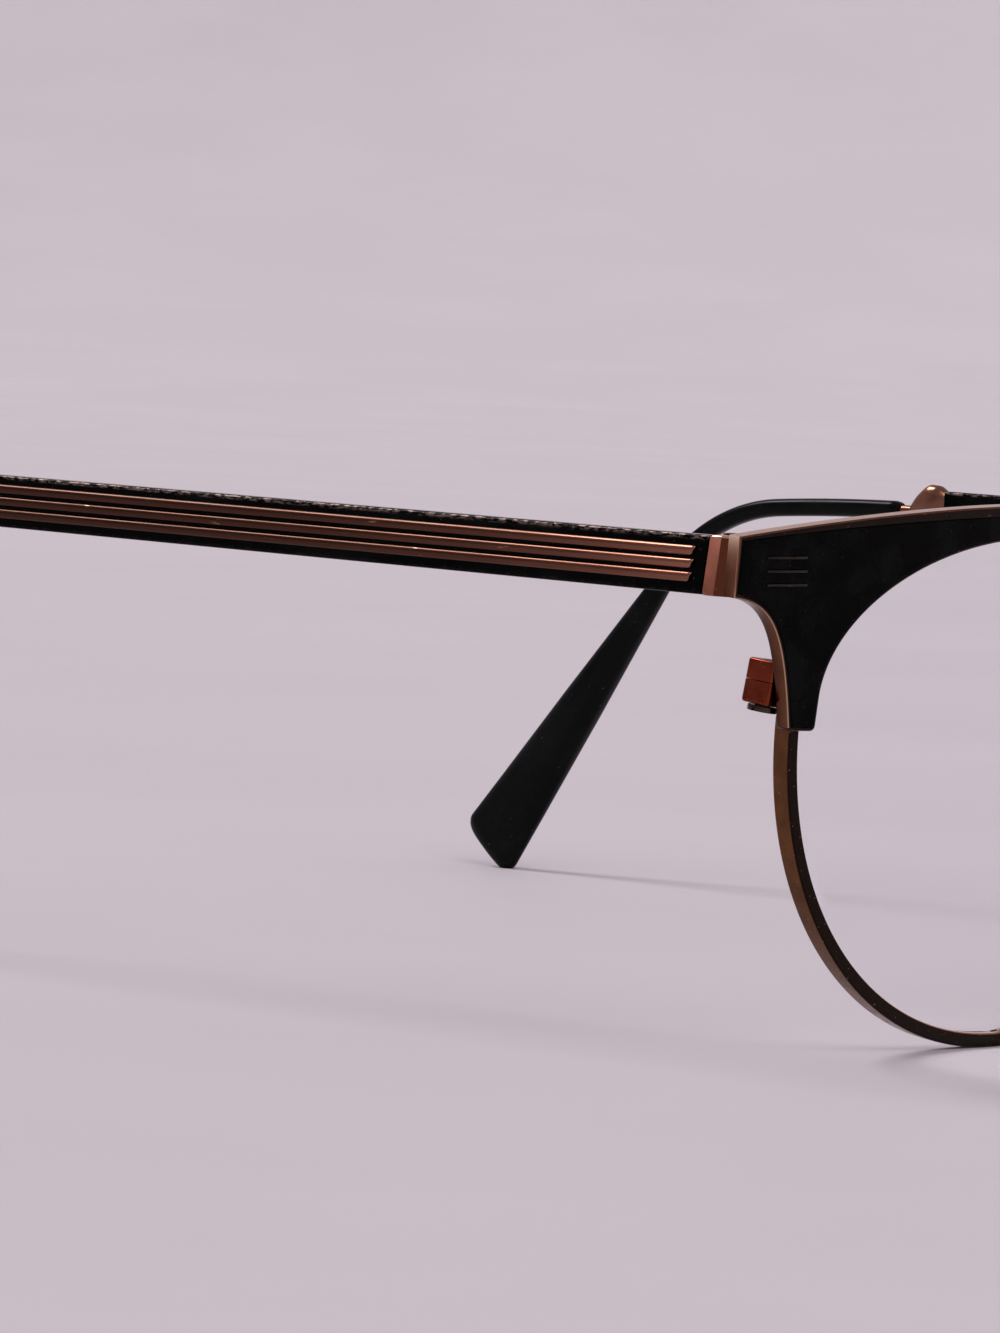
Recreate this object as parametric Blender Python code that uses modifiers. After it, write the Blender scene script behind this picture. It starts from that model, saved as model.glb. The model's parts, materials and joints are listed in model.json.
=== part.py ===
"""Browline eyeglass frame: black-faced metal brows over grooved eyewires, and ribbed temples on screw hinges.

The front stands in its own frame: X across, Z up the lens plane, Y from the front backwards, with Z zero
at the lowest point of the lens edge and Y zero at the front of the eyewire beside the temple.
Every piece of a pair is built on the wearer's left (+X) and mirrored for the right.
"""

import math

import bmesh
import bpy
from mathutils import Matrix, Vector
from mathutils.geometry import interpolate_bezier

MM = 0.001

# Lens outline: boxed sizes, and where along them the widest, highest and lowest points lie
LENS_WIDTH = 49.2 * MM
LENS_HEIGHT = 41.75 * MM
LENS_SPACING = 20.7 * MM
LENS_WIDEST_SHARE = 0.668
LENS_TOP_SHARE = 0.48
LENS_BOTTOM_SHARE = 0.40
LENS_SQUARENESS_SHARES = (1.96, 2.2, 1.9, 2.08)
LENS_THICKNESS = 0.9 * MM
LENS_BULGE = 1.5 * MM
LENS_RING_SHARES = (0.75, 0.4)

# Eyewire: a flat wire on edge with a V groove along its inner side
RIM_WIDTH = 1.15 * MM
RIM_DEPTH = 1.5 * MM
RIM_ROUND = 0.15 * MM
LENS_SEAT = 0.4 * MM
GROOVE_WIDTH = 1.1 * MM
SPLIT_GAP = 0.12 * MM

# The front as a whole
BROW_REACH = 9.95 * MM
WRAP_DEPTH = 3.9 * MM
FRONT_TILT = math.radians(6.3)

# Brow plate and its black face
BROW_FORWARD = 0.97 * MM
BROW_DEPTH = 1.2 * MM
BROW_BORDER = 0.25 * MM
BROW_EDGE = 0.15 * MM
BROW_LAP = 0.7 * MM
BROW_RISE = 1.5 * MM
BROW_FOOT_DROP = 2.7 * MM
BROW_FOOT_WIDTH = 3.0 * MM
BROW_CORNER = 0.45 * MM
BROW_NASAL_OVERHANG = 0.9 * MM
BROW_NASAL_TURN_SHARE = 0.40
ENDPIECE_HEIGHT = 4.7 * MM
ENDPIECE_DROP = 1.7 * MM
ENDPIECE_SLANT = 0.25 * MM
BROW_END_HANDLE_SHARES = (0.27, 0.47)
BROW_CROWN_HANDLE_SHARES = (0.27, 0.42)
BROW_NASAL_HANDLE_SHARE = 0.9
BROW_FILLET_START_SHARES = (0.55, 0.03)
BROW_FILLET_END_SHARES = (0.242, 0.763)
FACE_DEPTH = 0.5 * MM
FACE_END_DROP = 0.08 * MM
FACE_CROWN_DROP = 0.6 * MM
FACE_PROUD = 0.06 * MM
FACE_EDGE = 0.12 * MM

# Three raised lines in each black face
LINE_LENGTH = 4.4 * MM
LINE_WIDTH = 0.22 * MM
LINE_PROUD = 0.1 * MM
LINE_SUNK = 0.15 * MM
LINE_PITCH = 1.05 * MM
LINE_STEP_IN = 0.21 * MM
LINE_MARGIN = 2.85 * MM
LINE_TOP_DROP = 1.46 * MM
LINE_SLOPE = math.radians(1.3)
LINE_COUNT = 3

# Closing block behind the outer rim
LOCK_TURN_SHARE = 0.0065
LOCK_WIDTH = 2.4 * MM
LOCK_DEPTH = 2.6 * MM
LOCK_SETBACK = 0.5 * MM
LOCK_UPPER_HEIGHT = 1.6 * MM
LOCK_LOWER_HEIGHT = 1.75 * MM
LOCK_ROOT = 0.9 * MM
LOCK_EDGE = 0.25 * MM
LOCK_SCREW_RADIUS = 0.6 * MM
LOCK_HEAD_RADIUS = 1.15 * MM
LOCK_HEAD_HEIGHT = 0.5 * MM

# Hinge
BARREL_RADIUS = 1.15 * MM
PIN_RADIUS = 0.6 * MM
HINGE_SETBACK = 1.9 * MM
HINGE_DROP = 0.08 * MM
KNUCKLE_HEIGHT = 1.25 * MM
HINGE_LEAF_THICKNESS = 1.0 * MM
HINGE_LEAF_HEIGHT = 3.4 * MM
HINGE_LEAF_LENGTH = 9.0 * MM
HINGE_ROOT_INNER = 2.4 * MM
HINGE_ROOT_DEPTH = 1.0 * MM
HINGE_HEAD_RADIUS = 1.0 * MM
HINGE_HEAD_HEIGHT = 0.42 * MM
SCREW_SLOT_WIDTH = 0.3 * MM
SCREW_SLOT_DEPTH = 0.2 * MM

# Temple
TEMPLE_SPLAY = math.radians(1.0)
TEMPLE_RISE = math.radians(0.4)
CAP_LENGTH = 2.3 * MM
CAP_BEVEL_LENGTH = 1.15 * MM
CAP_BEVEL_DEPTH = 0.5 * MM
CAP_LEAD_SHARE = 1 / 3
CAP_THICKNESS = 1.8 * MM
CAP_HEIGHT = 4.65 * MM
BAR_LENGTH = 75.6 * MM
BAR_THICKNESS = 1.5 * MM
BAR_HEIGHT = 4.55 * MM
BAR_END_HEIGHT = 4.25 * MM
BAR_ROUND = 0.25 * MM
RIB_WIDTH = 0.82 * MM
RIB_PROUD = 0.3 * MM
RIB_PITCH = 1.0 * MM
RIB_SETBACK = 0.95 * MM
RIB_NOSE_SHARES = ((0, 0.72), (0.4, 0.96), (1, 1))
RIB_COUNT = 3
COLLAR_LENGTH = 4.0 * MM
COLLAR_HEIGHT = 5.3 * MM
COLLAR_THICKNESS = 2.4 * MM
COLLAR_SOCKET = 2.6 * MM
COLLAR_NECK = 1.35 * MM
COLLAR_SWELL_SHARES = ((0, -0.2), (0.08, 0.25), (0.22, 0.85), (0.36, 1), (0.55, 0.85))
COLLAR_TAPER_SHARES = ((0.82, 0.5), (1, 1))
CORE_RADIUS = 0.5 * MM
CORE_BARE = 1.4 * MM
DROOP_AT = 80.0 * MM
DROOP_RADIUS = 215.0 * MM
DROOP_ANGLE = math.radians(4.7)
BEND_AT = 98.0 * MM
BEND_RADIUS = 18.0 * MM
BEND_ANGLE = math.radians(50.2)
NECK_HEIGHT = 1.75 * MM
NECK_THICKNESS = 1.9 * MM
NECK_LEAD = 0.6 * MM
NECK_LEAD_SHARE = 0.86
SWELL_AT = 113.0 * MM
TIP_WIDTH = 7.3 * MM
TIP_THICKNESS = 2.9 * MM
TIP_END_THICKNESS = 2.3 * MM
TIP_END_ROUND = 1.3 * MM
TIP_END_SKEW = math.radians(7.0)
TIP_FLAT = 0.25 * MM
TIP_SOLID_END = 11.0 * MM
TIP_STATION_SHARES = (0.25, 0.5, 0.75, 1)
OVAL_SQUARENESS_SHARE = 2.6

# Bridge
BRIDGE_HEIGHT = 2.1 * MM
BRIDGE_THICKNESS = 1.5 * MM
BRIDGE_ARCH = 2.2 * MM
BRIDGE_TURN_SHARE = 0.43
BRIDGE_HANDLE_SHARES = (0.33, 0.5)

# Nose pads
PAD_HEIGHT = 13.0 * MM
PAD_WIDTH = 7.2 * MM
PAD_THICKNESS = 1.9 * MM
PAD_SPACING = 17.6 * MM
PAD_SETBACK = 8.4 * MM
PAD_LEVEL = 23.0 * MM
PAD_SPLAY = math.radians(28.0)
PAD_LEAN = math.radians(13.0)
PAD_TAPER_SHARE = 0.72
PAD_CROWN = 0.48 * MM
PAD_LAYER_SHARES = ((0, 0.6), (0.12, 0.84), (0.45, 1), (0.85, 0.92), (1, 0.7))
PAD_TAB_THICKNESS = 0.8 * MM
PAD_TAB_RADIUS = 0.8 * MM
PAD_TAB_REACH = 1.5 * MM
PAD_TAB_SUNK = 0.6 * MM
PAD_TAB_HEIGHT = 1.3 * MM
PAD_PIN_RADIUS = 0.35 * MM
PAD_HEAD_RADIUS = 0.63 * MM
PAD_HEAD_HEIGHT = 0.35 * MM
BOX_WALL = 0.45 * MM
BOX_HEIGHT = 1.9 * MM
ARM_RADIUS = 0.5 * MM
ARM_TURN_SHARE = 0.515
ARM_BACK = 2.4 * MM
ARM_SWEEP = 3.0 * MM
ARM_LEAD = 0.8 * MM

# Fits
FIT_GAP = 0.05 * MM
RUNNING_GAP = 0.1 * MM
BUTT_GAP = 0.12 * MM
OVERRUN = 3.0 * MM
STRIP = 7.0 * MM
WELD = 0.0005 * MM

# Facets
RIM_STEPS = 60
ROUND_STEPS = 16
SECTION_STEPS = 12
CURVE_STEPS = 8
CORNER_STEPS = 3

# Sizes that follow from those above
LENS_INNER = LENS_SPACING / 2
LENS_OUTER = LENS_INNER + LENS_WIDTH
HALF_WIDTH = LENS_OUTER + BROW_REACH
LENS_WIDEST = LENS_HEIGHT * LENS_WIDEST_SHARE
RIM_OUTSIDE = RIM_WIDTH - LENS_SEAT
BROW_FRONT = -BROW_FORWARD
BROW_BACK = BROW_FRONT + BROW_DEPTH
BROW_TOP = LENS_HEIGHT + BROW_RISE
ENDPIECE_TOP = LENS_HEIGHT - ENDPIECE_DROP
ENDPIECE_BOTTOM = ENDPIECE_TOP - ENDPIECE_HEIGHT
HINGE_LEVEL = (ENDPIECE_TOP + ENDPIECE_BOTTOM) / 2 - HINGE_DROP
HINGE_ACROSS = HALF_WIDTH - CAP_THICKNESS - RUNNING_GAP - BARREL_RADIUS
TEMPLE_OUTSIDE = HALF_WIDTH - HINGE_ACROSS
BAR_START = CAP_LENGTH + FIT_GAP
BAR_END = BAR_START + BAR_LENGTH
COLLAR_END = BAR_END + FIT_GAP + COLLAR_LENGTH
SLEEVE_START = COLLAR_END + CORE_BARE


def wrap(across):
    """How far the curved front lies ahead of its ends, at this distance across."""
    return WRAP_DEPTH * ((across / HALF_WIDTH) ** 2 - 1)


def signed_power(value, power):
    return math.copysign(abs(value) ** power, value)


def lens_point(turn, offset=0.0):
    """(across, up) on the lens edge, or this far outside it; turn 0 is the outer side and 0.25 the top."""
    turn %= 1
    squareness = LENS_SQUARENESS_SHARES[int(turn * 4)]
    upper, outer = turn < 0.5, turn < 0.25 or turn >= 0.75
    middle = LENS_INNER + LENS_WIDTH * (LENS_TOP_SHARE if upper else LENS_BOTTOM_SHARE)
    half_width = LENS_OUTER - middle if outer else middle - LENS_INNER
    half_height = LENS_HEIGHT - LENS_WIDEST if upper else LENS_WIDEST
    angle = 2 * math.pi * turn
    across = signed_power(math.cos(angle), 2 / squareness)
    up = signed_power(math.sin(angle), 2 / squareness)
    normal = Vector(
        (signed_power(across, squareness - 1) / half_width, signed_power(up, squareness - 1) / half_height)
    ).normalized()
    return Vector((middle + half_width * across, LENS_WIDEST + half_height * up)) + offset * normal


def bezier(start, start_handle, end_handle, end):
    corners = [Vector((x, y, 0)) for x, y in (start, start_handle, end_handle, end)]
    return [Vector(point[:2]) for point in interpolate_bezier(*corners, CURVE_STEPS)]


def rounded_corner(before, corner, after, radius):
    """An arc that touches both sides of a corner."""
    to_before, to_after = (before - corner).normalized(), (after - corner).normalized()
    half = to_before.angle(to_after) / 2
    centre = corner + (to_before + to_after).normalized() * radius / math.sin(half)
    start = corner + to_before * radius / math.tan(half) - centre
    sweep = math.pi - 2 * half
    if to_before.x * to_after.y - to_before.y * to_after.x > 0:
        sweep = -sweep
    steps = [sweep * step / CORNER_STEPS for step in range(CORNER_STEPS + 1)]
    return [centre + Matrix.Rotation(angle, 2) @ start for angle in steps]


def inset(outline, distance):
    """A counter-clockwise outline drawn in by this distance all round."""
    moved = []
    for i, point in enumerate(outline):
        into = (point - outline[i - 1]).normalized()
        out = (outline[(i + 1) % len(outline)] - point).normalized()
        normal = Vector((-(into + out).y, (into + out).x)).normalized()
        moved.append(point + normal * distance / max(normal.dot(Vector((-out.y, out.x))), 0.5))
    return moved


def oval(half_across, half_up, squareness):
    """Points of a rounded oblong, counter-clockwise from its +X side."""
    points = []
    for step in range(SECTION_STEPS):
        angle = 2 * math.pi * step / SECTION_STEPS
        across = half_across * signed_power(math.cos(angle), 2 / squareness)
        points.append(Vector((across, half_up * signed_power(math.sin(angle), 2 / squareness))))
    return points


def oblong(half_across, half_up, radius):
    """A rectangle with rounded corners, counter-clockwise."""
    corners = [Vector((x * half_across, y * half_up)) for x, y in ((1, -1), (1, 1), (-1, 1), (-1, -1))]
    points = []
    for i, corner in enumerate(corners):
        points += rounded_corner(corners[i - 1], corner, corners[(i + 1) % 4], radius)
    return points


def material(name, colour, roughness, metallic=0.0, transmission=0.0):
    made = bpy.data.materials.new(name)
    made.use_nodes = True
    shader = made.node_tree.nodes["Principled BSDF"]
    shader.inputs["Base Color"].default_value = (*colour, 1)
    shader.inputs["Roughness"].default_value = roughness
    shader.inputs["Metallic"].default_value = metallic
    shader.inputs["Transmission Weight"].default_value = transmission
    return made


def add(name, mesh, finish, frame, cutter=False):
    """A named object with this mesh, in the frame's own coordinates."""
    piece = bpy.data.objects.new(name, mesh)
    piece.parent = frame
    if cutter:
        piece.hide_render = True
        piece.display_type = "WIRE"
        cutters.objects.link(piece)
        return piece
    mesh.materials.clear()
    mesh.materials.append(finish)
    mesh.shade_smooth()
    mesh.set_sharp_from_angle(angle=math.radians(35))
    parts.objects.link(piece)
    return piece


def mesh_of(build):
    """A mesh from a bmesh, closed and facing outwards."""
    bmesh.ops.recalc_face_normals(build, faces=build.faces)
    mesh = bpy.data.meshes.new("shape")
    build.to_mesh(mesh)
    build.free()
    return mesh


def baked(piece):
    """The mesh that an object's modifiers make, with its loose caps welded."""
    bpy.context.view_layer.update()
    seen = piece.evaluated_get(bpy.context.evaluated_depsgraph_get())
    mesh = bpy.data.meshes.new_from_object(seen)
    build = bmesh.new()
    build.from_mesh(mesh)
    bmesh.ops.remove_doubles(build, verts=build.verts, dist=WELD)
    return mesh_of(build)


def settle(piece):
    """Applies an object's modifiers to its mesh."""
    finish = piece.data.materials[0] if piece.data.materials else None
    mesh = baked(piece)
    piece.modifiers.clear()
    piece.data = mesh
    if finish:
        mesh.materials.clear()
        mesh.materials.append(finish)
        mesh.shade_smooth()
        mesh.set_sharp_from_angle(angle=math.radians(35))
    return piece


def plate(outline, front, back):
    """A flat outline in X and Z, filled and given its thickness along Y."""
    curve = bpy.data.curves.new("outline", "CURVE")
    curve.dimensions = "2D"
    curve.fill_mode = "BOTH"
    curve.extrude = (back - front) / 2
    spline = curve.splines.new("POLY")
    spline.points.add(len(outline) - 1)
    for point, place in zip(spline.points, outline):
        point.co = (*place, 0, 1)
    spline.use_cyclic_u = True
    guide = bpy.data.objects.new("guide", curve)
    parts.objects.link(guide)
    build = bmesh.new()
    build.from_mesh(baked(guide))
    bpy.data.objects.remove(guide)
    bmesh.ops.dissolve_limit(build, angle_limit=math.radians(0.2), verts=build.verts, edges=build.edges)
    build.transform(Matrix.Translation((0, (front + back) / 2, 0)) @ Matrix.Rotation(math.pi / 2, 4, "X"))
    return mesh_of(build)


def loft(rings):
    """A skin over rings of as many points each, closed at both ends."""
    build = bmesh.new()
    rows = [[build.verts.new(point) for point in ring] for ring in rings]
    for row, following in zip(rows, rows[1:]):
        for i in range(len(row)):
            build.faces.new((row[i - 1], row[i], following[i], following[i - 1]))
    build.faces.new(rows[0])
    build.faces.new(rows[-1])
    return mesh_of(build)


def box(low, high):
    build = bmesh.new()
    low, high = Vector(low), Vector(high)
    size = Matrix.Diagonal((*(high - low), 1))
    bmesh.ops.create_cube(build, size=1, matrix=Matrix.Translation((low + high) / 2) @ size)
    return mesh_of(build)


def cylinder(radius, low, high, centre=(0, 0)):
    """An upright cylinder between two heights."""
    build = bmesh.new()
    place = Matrix.Translation((*centre, (low + high) / 2))
    ends = {"radius1": radius, "radius2": radius, "depth": high - low}
    bmesh.ops.create_cone(build, cap_ends=True, segments=ROUND_STEPS, matrix=place, **ends)
    return mesh_of(build)


def wire(points, radius):
    """A round wire along these points."""
    curve = bpy.data.curves.new("path", "CURVE")
    curve.dimensions = "3D"
    curve.bevel_depth = radius
    curve.bevel_resolution = 2
    curve.use_fill_caps = True
    spline = curve.splines.new("POLY")
    spline.points.add(len(points) - 1)
    for point, place in zip(spline.points, points):
        point.co = (*place, 1)
    guide = bpy.data.objects.new("guide", curve)
    parts.objects.link(guide)
    mesh = baked(guide)
    bpy.data.objects.remove(guide)
    return mesh


def boolean(piece, other, operation="DIFFERENCE"):
    modifier = piece.modifiers.new(operation.lower(), "BOOLEAN")
    modifier.operation = operation
    modifier.object = other
    return piece


def bevel(piece, width, segments=1):
    modifier = piece.modifiers.new("edges", "BEVEL")
    modifier.width = width
    modifier.segments = segments
    modifier.limit_method = "ANGLE"
    modifier.angle_limit = math.radians(50)
    modifier.harden_normals = False
    return piece


def joined(mesh, *others):
    """Several overlapping shapes as one solid."""
    whole = bpy.data.objects.new("whole", mesh)
    parts.objects.link(whole)
    helpers = [whole]
    for other in others:
        helper = bpy.data.objects.new("helper", other)
        parts.objects.link(helper)
        helpers.append(helper)
        boolean(whole, helper, "UNION")
    result = baked(whole)
    for helper in helpers:
        bpy.data.objects.remove(helper)
    return result


def bend_to_wrap(piece):
    """Slices a settled piece into upright strips and lays it on the curve of the front."""
    build = bmesh.new()
    build.from_mesh(piece.data)
    reach = HALF_WIDTH + OVERRUN
    for step in range(1, int(2 * reach / STRIP) + 1):
        geometry = build.verts[:] + build.edges[:] + build.faces[:]
        place = (step * STRIP - reach, 0, 0)
        bmesh.ops.bisect_plane(build, geom=geometry, dist=WELD, plane_co=place, plane_no=(1, 0, 0))
    for vertex in build.verts:
        vertex.co.y += wrap(vertex.co.x)
    build.to_mesh(piece.data)
    build.free()
    return piece


def mirrored(piece, name, frame):
    """The right-hand twin of a left-hand piece."""
    settle(piece)
    mesh = piece.data.copy()
    mesh.transform(Matrix.Diagonal((-1, 1, 1, 1)) @ piece.matrix_basis)
    mesh.flip_normals()
    return add(name, mesh, piece.data.materials[0], frame)


def both_sides(piece, frame=None):
    """Names a finished left-hand piece for its side and adds its twin in the matching frame."""
    name = piece.name
    piece.name = name + "_left"
    return piece, mirrored(piece, name + "_right", frame or piece.parent)


def empty(name, frame=None):
    """A frame that pieces are placed in."""
    made = bpy.data.objects.new(name, None)
    made.parent = frame
    parts.objects.link(made)
    return made


def lowest(piece):
    bpy.context.view_layer.update()
    return min((piece.matrix_world @ vertex.co).z for vertex in piece.data.vertices)


def perimeter(offset):
    points = [lens_point(step / RIM_STEPS, offset) for step in range(RIM_STEPS)]
    return sum((point - points[i - 1]).length for i, point in enumerate(points))


def rim_section():
    """The eyewire's section, as (outwards from the lens edge, back from the front face)."""
    lip, outside, middle = -LENS_SEAT, RIM_OUTSIDE, RIM_DEPTH / 2
    return [
        (lip, RIM_ROUND),
        (lip + RIM_ROUND, 0),
        (outside - RIM_ROUND, 0),
        (outside, RIM_ROUND),
        (outside, RIM_DEPTH - RIM_ROUND),
        (outside - RIM_ROUND, RIM_DEPTH),
        (lip + RIM_ROUND, RIM_DEPTH),
        (lip, RIM_DEPTH - RIM_ROUND),
        (lip, middle + GROOVE_WIDTH / 2),
        (FIT_GAP, middle),
        (lip, middle - GROOVE_WIDTH / 2),
    ]


def make_eyewire():
    """The grooved ring, split at the closing block."""
    half_gap = SPLIT_GAP / 2 / perimeter(0)
    start, end = LOCK_TURN_SHARE + half_gap, LOCK_TURN_SHARE + 1 - half_gap
    rings = []
    for step in range(RIM_STEPS + 1):
        turn = start + (end - start) * step / RIM_STEPS
        ring = []
        for outwards, back in rim_section():
            across, up = lens_point(turn, outwards)
            ring.append(Vector((across, wrap(across) + back, up)))
        rings.append(ring)
    return add("eyewire", loft(rings), rose_gold, front)


def make_lens():
    """A clear meniscus whose V edge sits in the groove."""
    centre = Vector((LENS_INNER + LENS_WIDTH / 2, LENS_HEIGHT / 2))
    middle = RIM_DEPTH / 2
    shoulder = -LENS_SEAT - FIT_GAP

    def ring(offset, share, back):
        points = []
        for step in range(RIM_STEPS):
            across, up = centre + (lens_point(step / RIM_STEPS, offset) - centre) * share
            points.append(Vector((across, wrap(across) + middle + back - LENS_BULGE * (1 - share**2), up)))
        return points

    half = LENS_THICKNESS / 2
    rings = [ring(shoulder, share, half) for share in reversed(LENS_RING_SHARES)]
    rings += [ring(shoulder, 1, half), ring(0, 1, 0), ring(shoulder, 1, -half)]
    rings += [ring(shoulder, share, -half) for share in LENS_RING_SHARES]
    return add("lens", loft(rings), clear_lens, front)


def brow_outline(end_drop=0.0, crown_drop=0.0):
    """The brow's outline, counter-clockwise from its outer end's top, with its top edge this much lower."""
    bottom_end = Vector((HALF_WIDTH, ENDPIECE_BOTTOM))
    top_end = Vector((HALF_WIDTH + ENDPIECE_SLANT, ENDPIECE_TOP - end_drop))
    crown = Vector((LENS_INNER + LENS_WIDTH * LENS_TOP_SHARE, BROW_TOP - crown_drop))
    nasal = lens_point(BROW_NASAL_TURN_SHARE, RIM_OUTSIDE + BROW_NASAL_OVERHANG)
    run, rise = top_end.x - crown.x, crown.y - top_end.y
    outer_handle = top_end + Vector((-run * BROW_END_HANDLE_SHARES[0], rise * BROW_END_HANDLE_SHARES[1]))
    points = bezier(top_end, outer_handle, crown + Vector((run * BROW_CROWN_HANDLE_SHARES[0], 0)), crown)
    beside = lens_point(BROW_NASAL_TURN_SHARE - 1 / RIM_STEPS, RIM_OUTSIDE + BROW_NASAL_OVERHANG)
    along = (nasal - beside).normalized()
    fall = (crown.x - nasal.x) * BROW_CROWN_HANDLE_SHARES[1]
    nasal_handle = nasal - along * (crown.y - nasal.y) * BROW_NASAL_HANDLE_SHARE
    points += bezier(crown, crown - Vector((fall, 0)), nasal_handle, nasal)[1:-1]

    lap = -LENS_SEAT - BROW_LAP
    nasal_inner = lens_point(BROW_NASAL_TURN_SHARE, lap)
    points += rounded_corner(points[-1], nasal, nasal_inner, BROW_CORNER)
    steps = round(RIM_STEPS * BROW_NASAL_TURN_SHARE)
    edge = [lens_point(BROW_NASAL_TURN_SHARE * (1 - step / steps), lap) for step in range(1, steps + 1)]
    points += rounded_corner(nasal, nasal_inner, edge[0], BROW_CORNER)
    points += edge
    foot_inner = edge[-1] - Vector((0, BROW_FOOT_DROP))
    foot_outer = foot_inner + Vector((BROW_FOOT_WIDTH, 0))
    side = bottom_end - foot_outer
    into_foot = foot_outer + Vector((side.x * BROW_FILLET_END_SHARES[0], side.y * BROW_FILLET_END_SHARES[1]))
    points += rounded_corner(edge[-1], foot_inner, foot_outer, BROW_CORNER)
    points += rounded_corner(foot_inner, foot_outer, into_foot, BROW_CORNER)
    out_of_end = bottom_end - Vector(
        (side.x * BROW_FILLET_START_SHARES[0], side.y * BROW_FILLET_START_SHARES[1])
    )
    points += bezier(foot_outer, into_foot, out_of_end, bottom_end)[1:]
    return points


def make_brow_plate(outline, face_outline):
    """The metal plate: a pocket in front for the black face, a rebate behind for the eyewire."""
    piece = add("brow_plate", plate(outline, BROW_FRONT, BROW_BACK), rose_gold, front)
    bevel(piece, BROW_EDGE)
    pocket = add(
        "face_pocket",
        plate(inset(face_outline, BROW_BORDER), BROW_FRONT - OVERRUN, BROW_FRONT + FACE_DEPTH),
        None,
        front,
        cutter=True,
    )
    rebate_outline = [lens_point(step / RIM_STEPS, RIM_OUTSIDE + FIT_GAP) for step in range(RIM_STEPS)]
    rebate = add("rim_rebate", plate(rebate_outline, -FIT_GAP, OVERRUN), None, front, cutter=True)
    boolean(piece, pocket)
    boolean(piece, rebate)
    settle(piece)
    return bend_to_wrap(piece)


def line_outlines(margin):
    """The three short raised lines as outlines, grown by this margin."""
    slope = Matrix.Rotation(-LINE_SLOPE, 2)
    half = Vector((LINE_LENGTH / 2 + margin, LINE_WIDTH / 2 + margin))
    outlines = []
    for row in range(LINE_COUNT):
        outer_end = HALF_WIDTH - LINE_MARGIN - LINE_STEP_IN * row
        centre = Vector((outer_end - LINE_LENGTH / 2, ENDPIECE_TOP - LINE_TOP_DROP - LINE_PITCH * row))
        corners = [Vector((x * half.x, y * half.y)) for x, y in ((-1, -1), (1, -1), (1, 1), (-1, 1))]
        outlines.append([centre + slope @ corner for corner in corners])
    return outlines


def make_brow_face(outline):
    """The black face, with a groove for each raised line."""
    face_front = BROW_FRONT - FACE_PROUD
    shape = plate(inset(outline, BROW_BORDER + FIT_GAP), face_front, BROW_FRONT + FACE_DEPTH - FIT_GAP)
    piece = add("brow_face", shape, black_lacquer, front)
    bevel(piece, FACE_EDGE)
    for row, groove_outline in enumerate(line_outlines(FIT_GAP)):
        shape = plate(groove_outline, face_front - OVERRUN, face_front + LINE_SUNK)
        boolean(piece, add(f"line_groove_{row + 1}", shape, None, front, cutter=True))
    settle(piece)
    return bend_to_wrap(piece)


def make_brow_line(row, outline):
    face_front = BROW_FRONT - FACE_PROUD
    shape = plate(outline, face_front - LINE_PROUD, face_front + LINE_SUNK - FIT_GAP)
    piece = add(f"brow_line_{row}", shape, rose_gold, front)
    return bend_to_wrap(settle(piece))


def make_lock_frames():
    """Frames on the eyewire's split, one a side: X outwards from the rim, Z along it."""
    split = lens_point(LOCK_TURN_SHARE, RIM_OUTSIDE)
    outwards = split - lens_point(LOCK_TURN_SHARE)
    lean = math.atan2(outwards.y, outwards.x)
    frames = []
    for side, name in ((1, "left"), (-1, "right")):
        frame = empty("lock_frame_" + name, front)
        frame.location = (side * split.x, wrap(split.x), split.y)
        frame.rotation_euler = (0, -side * lean, 0)
        frames.append(frame)
    return frames


def lock_hole(name, gap):
    middle = (LOCK_WIDTH / 2, LOCK_SETBACK + LOCK_DEPTH / 2)
    reach = LOCK_UPPER_HEIGHT + LOCK_LOWER_HEIGHT
    return add(name, cylinder(LOCK_SCREW_RADIUS + gap, -reach, reach, middle), None, lock_left, cutter=True)


def make_lock_half(name, side):
    """The upper (1) or lower (-1) half of the closing block, brazed on the eyewire beside its split."""
    foot, top = -SPLIT_GAP / 2 - LOCK_LOWER_HEIGHT, SPLIT_GAP / 2 + LOCK_UPPER_HEIGHT
    block = box((-LOCK_ROOT, LOCK_SETBACK, foot), (LOCK_WIDTH, LOCK_SETBACK + LOCK_DEPTH, top))
    piece = add(name, block, rose_gold, lock_left)
    bevel(piece, LOCK_EDGE, 2)
    levels = sorted((side * SPLIT_GAP / 2, -side * OVERRUN))
    other = box((-OVERRUN, -OVERRUN, levels[0]), (OVERRUN * 2, OVERRUN * 2, levels[1]))
    boolean(piece, add(name + "_other_half", other, None, lock_left, cutter=True))
    outline = [lens_point(step / RIM_STEPS, RIM_OUTSIDE + FIT_GAP) for step in range(RIM_STEPS)]
    rim_room = add(name + "_rim_room", plate(outline, -OVERRUN, OVERRUN), None, front, cutter=True)
    boolean(piece, bend_to_wrap(rim_room))
    boolean(piece, lock_hole(name + "_hole", FIT_GAP))
    return settle(piece)


def make_lock_screw():
    """The screw that pulls both halves together, its head under the lower one."""
    middle = Vector((LOCK_WIDTH / 2, LOCK_SETBACK + LOCK_DEPTH / 2))
    head_top = -SPLIT_GAP / 2 - LOCK_LOWER_HEIGHT - FIT_GAP
    head_foot = head_top - LOCK_HEAD_HEIGHT
    shank = cylinder(LOCK_SCREW_RADIUS, head_top - FIT_GAP, LOCK_UPPER_HEIGHT, middle)
    head = cylinder(LOCK_HEAD_RADIUS, head_foot, head_top, middle)
    piece = add("lock_screw", joined(shank, head), rose_gold, lock_left)
    slot = box(
        (middle.x - LOCK_WIDTH, middle.y - SCREW_SLOT_WIDTH / 2, head_foot - OVERRUN),
        (middle.x + LOCK_WIDTH, middle.y + SCREW_SLOT_WIDTH / 2, head_foot + SCREW_SLOT_DEPTH),
    )
    return settle(boolean(piece, add("lock_screw_slot", slot, None, lock_left, cutter=True)))


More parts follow.
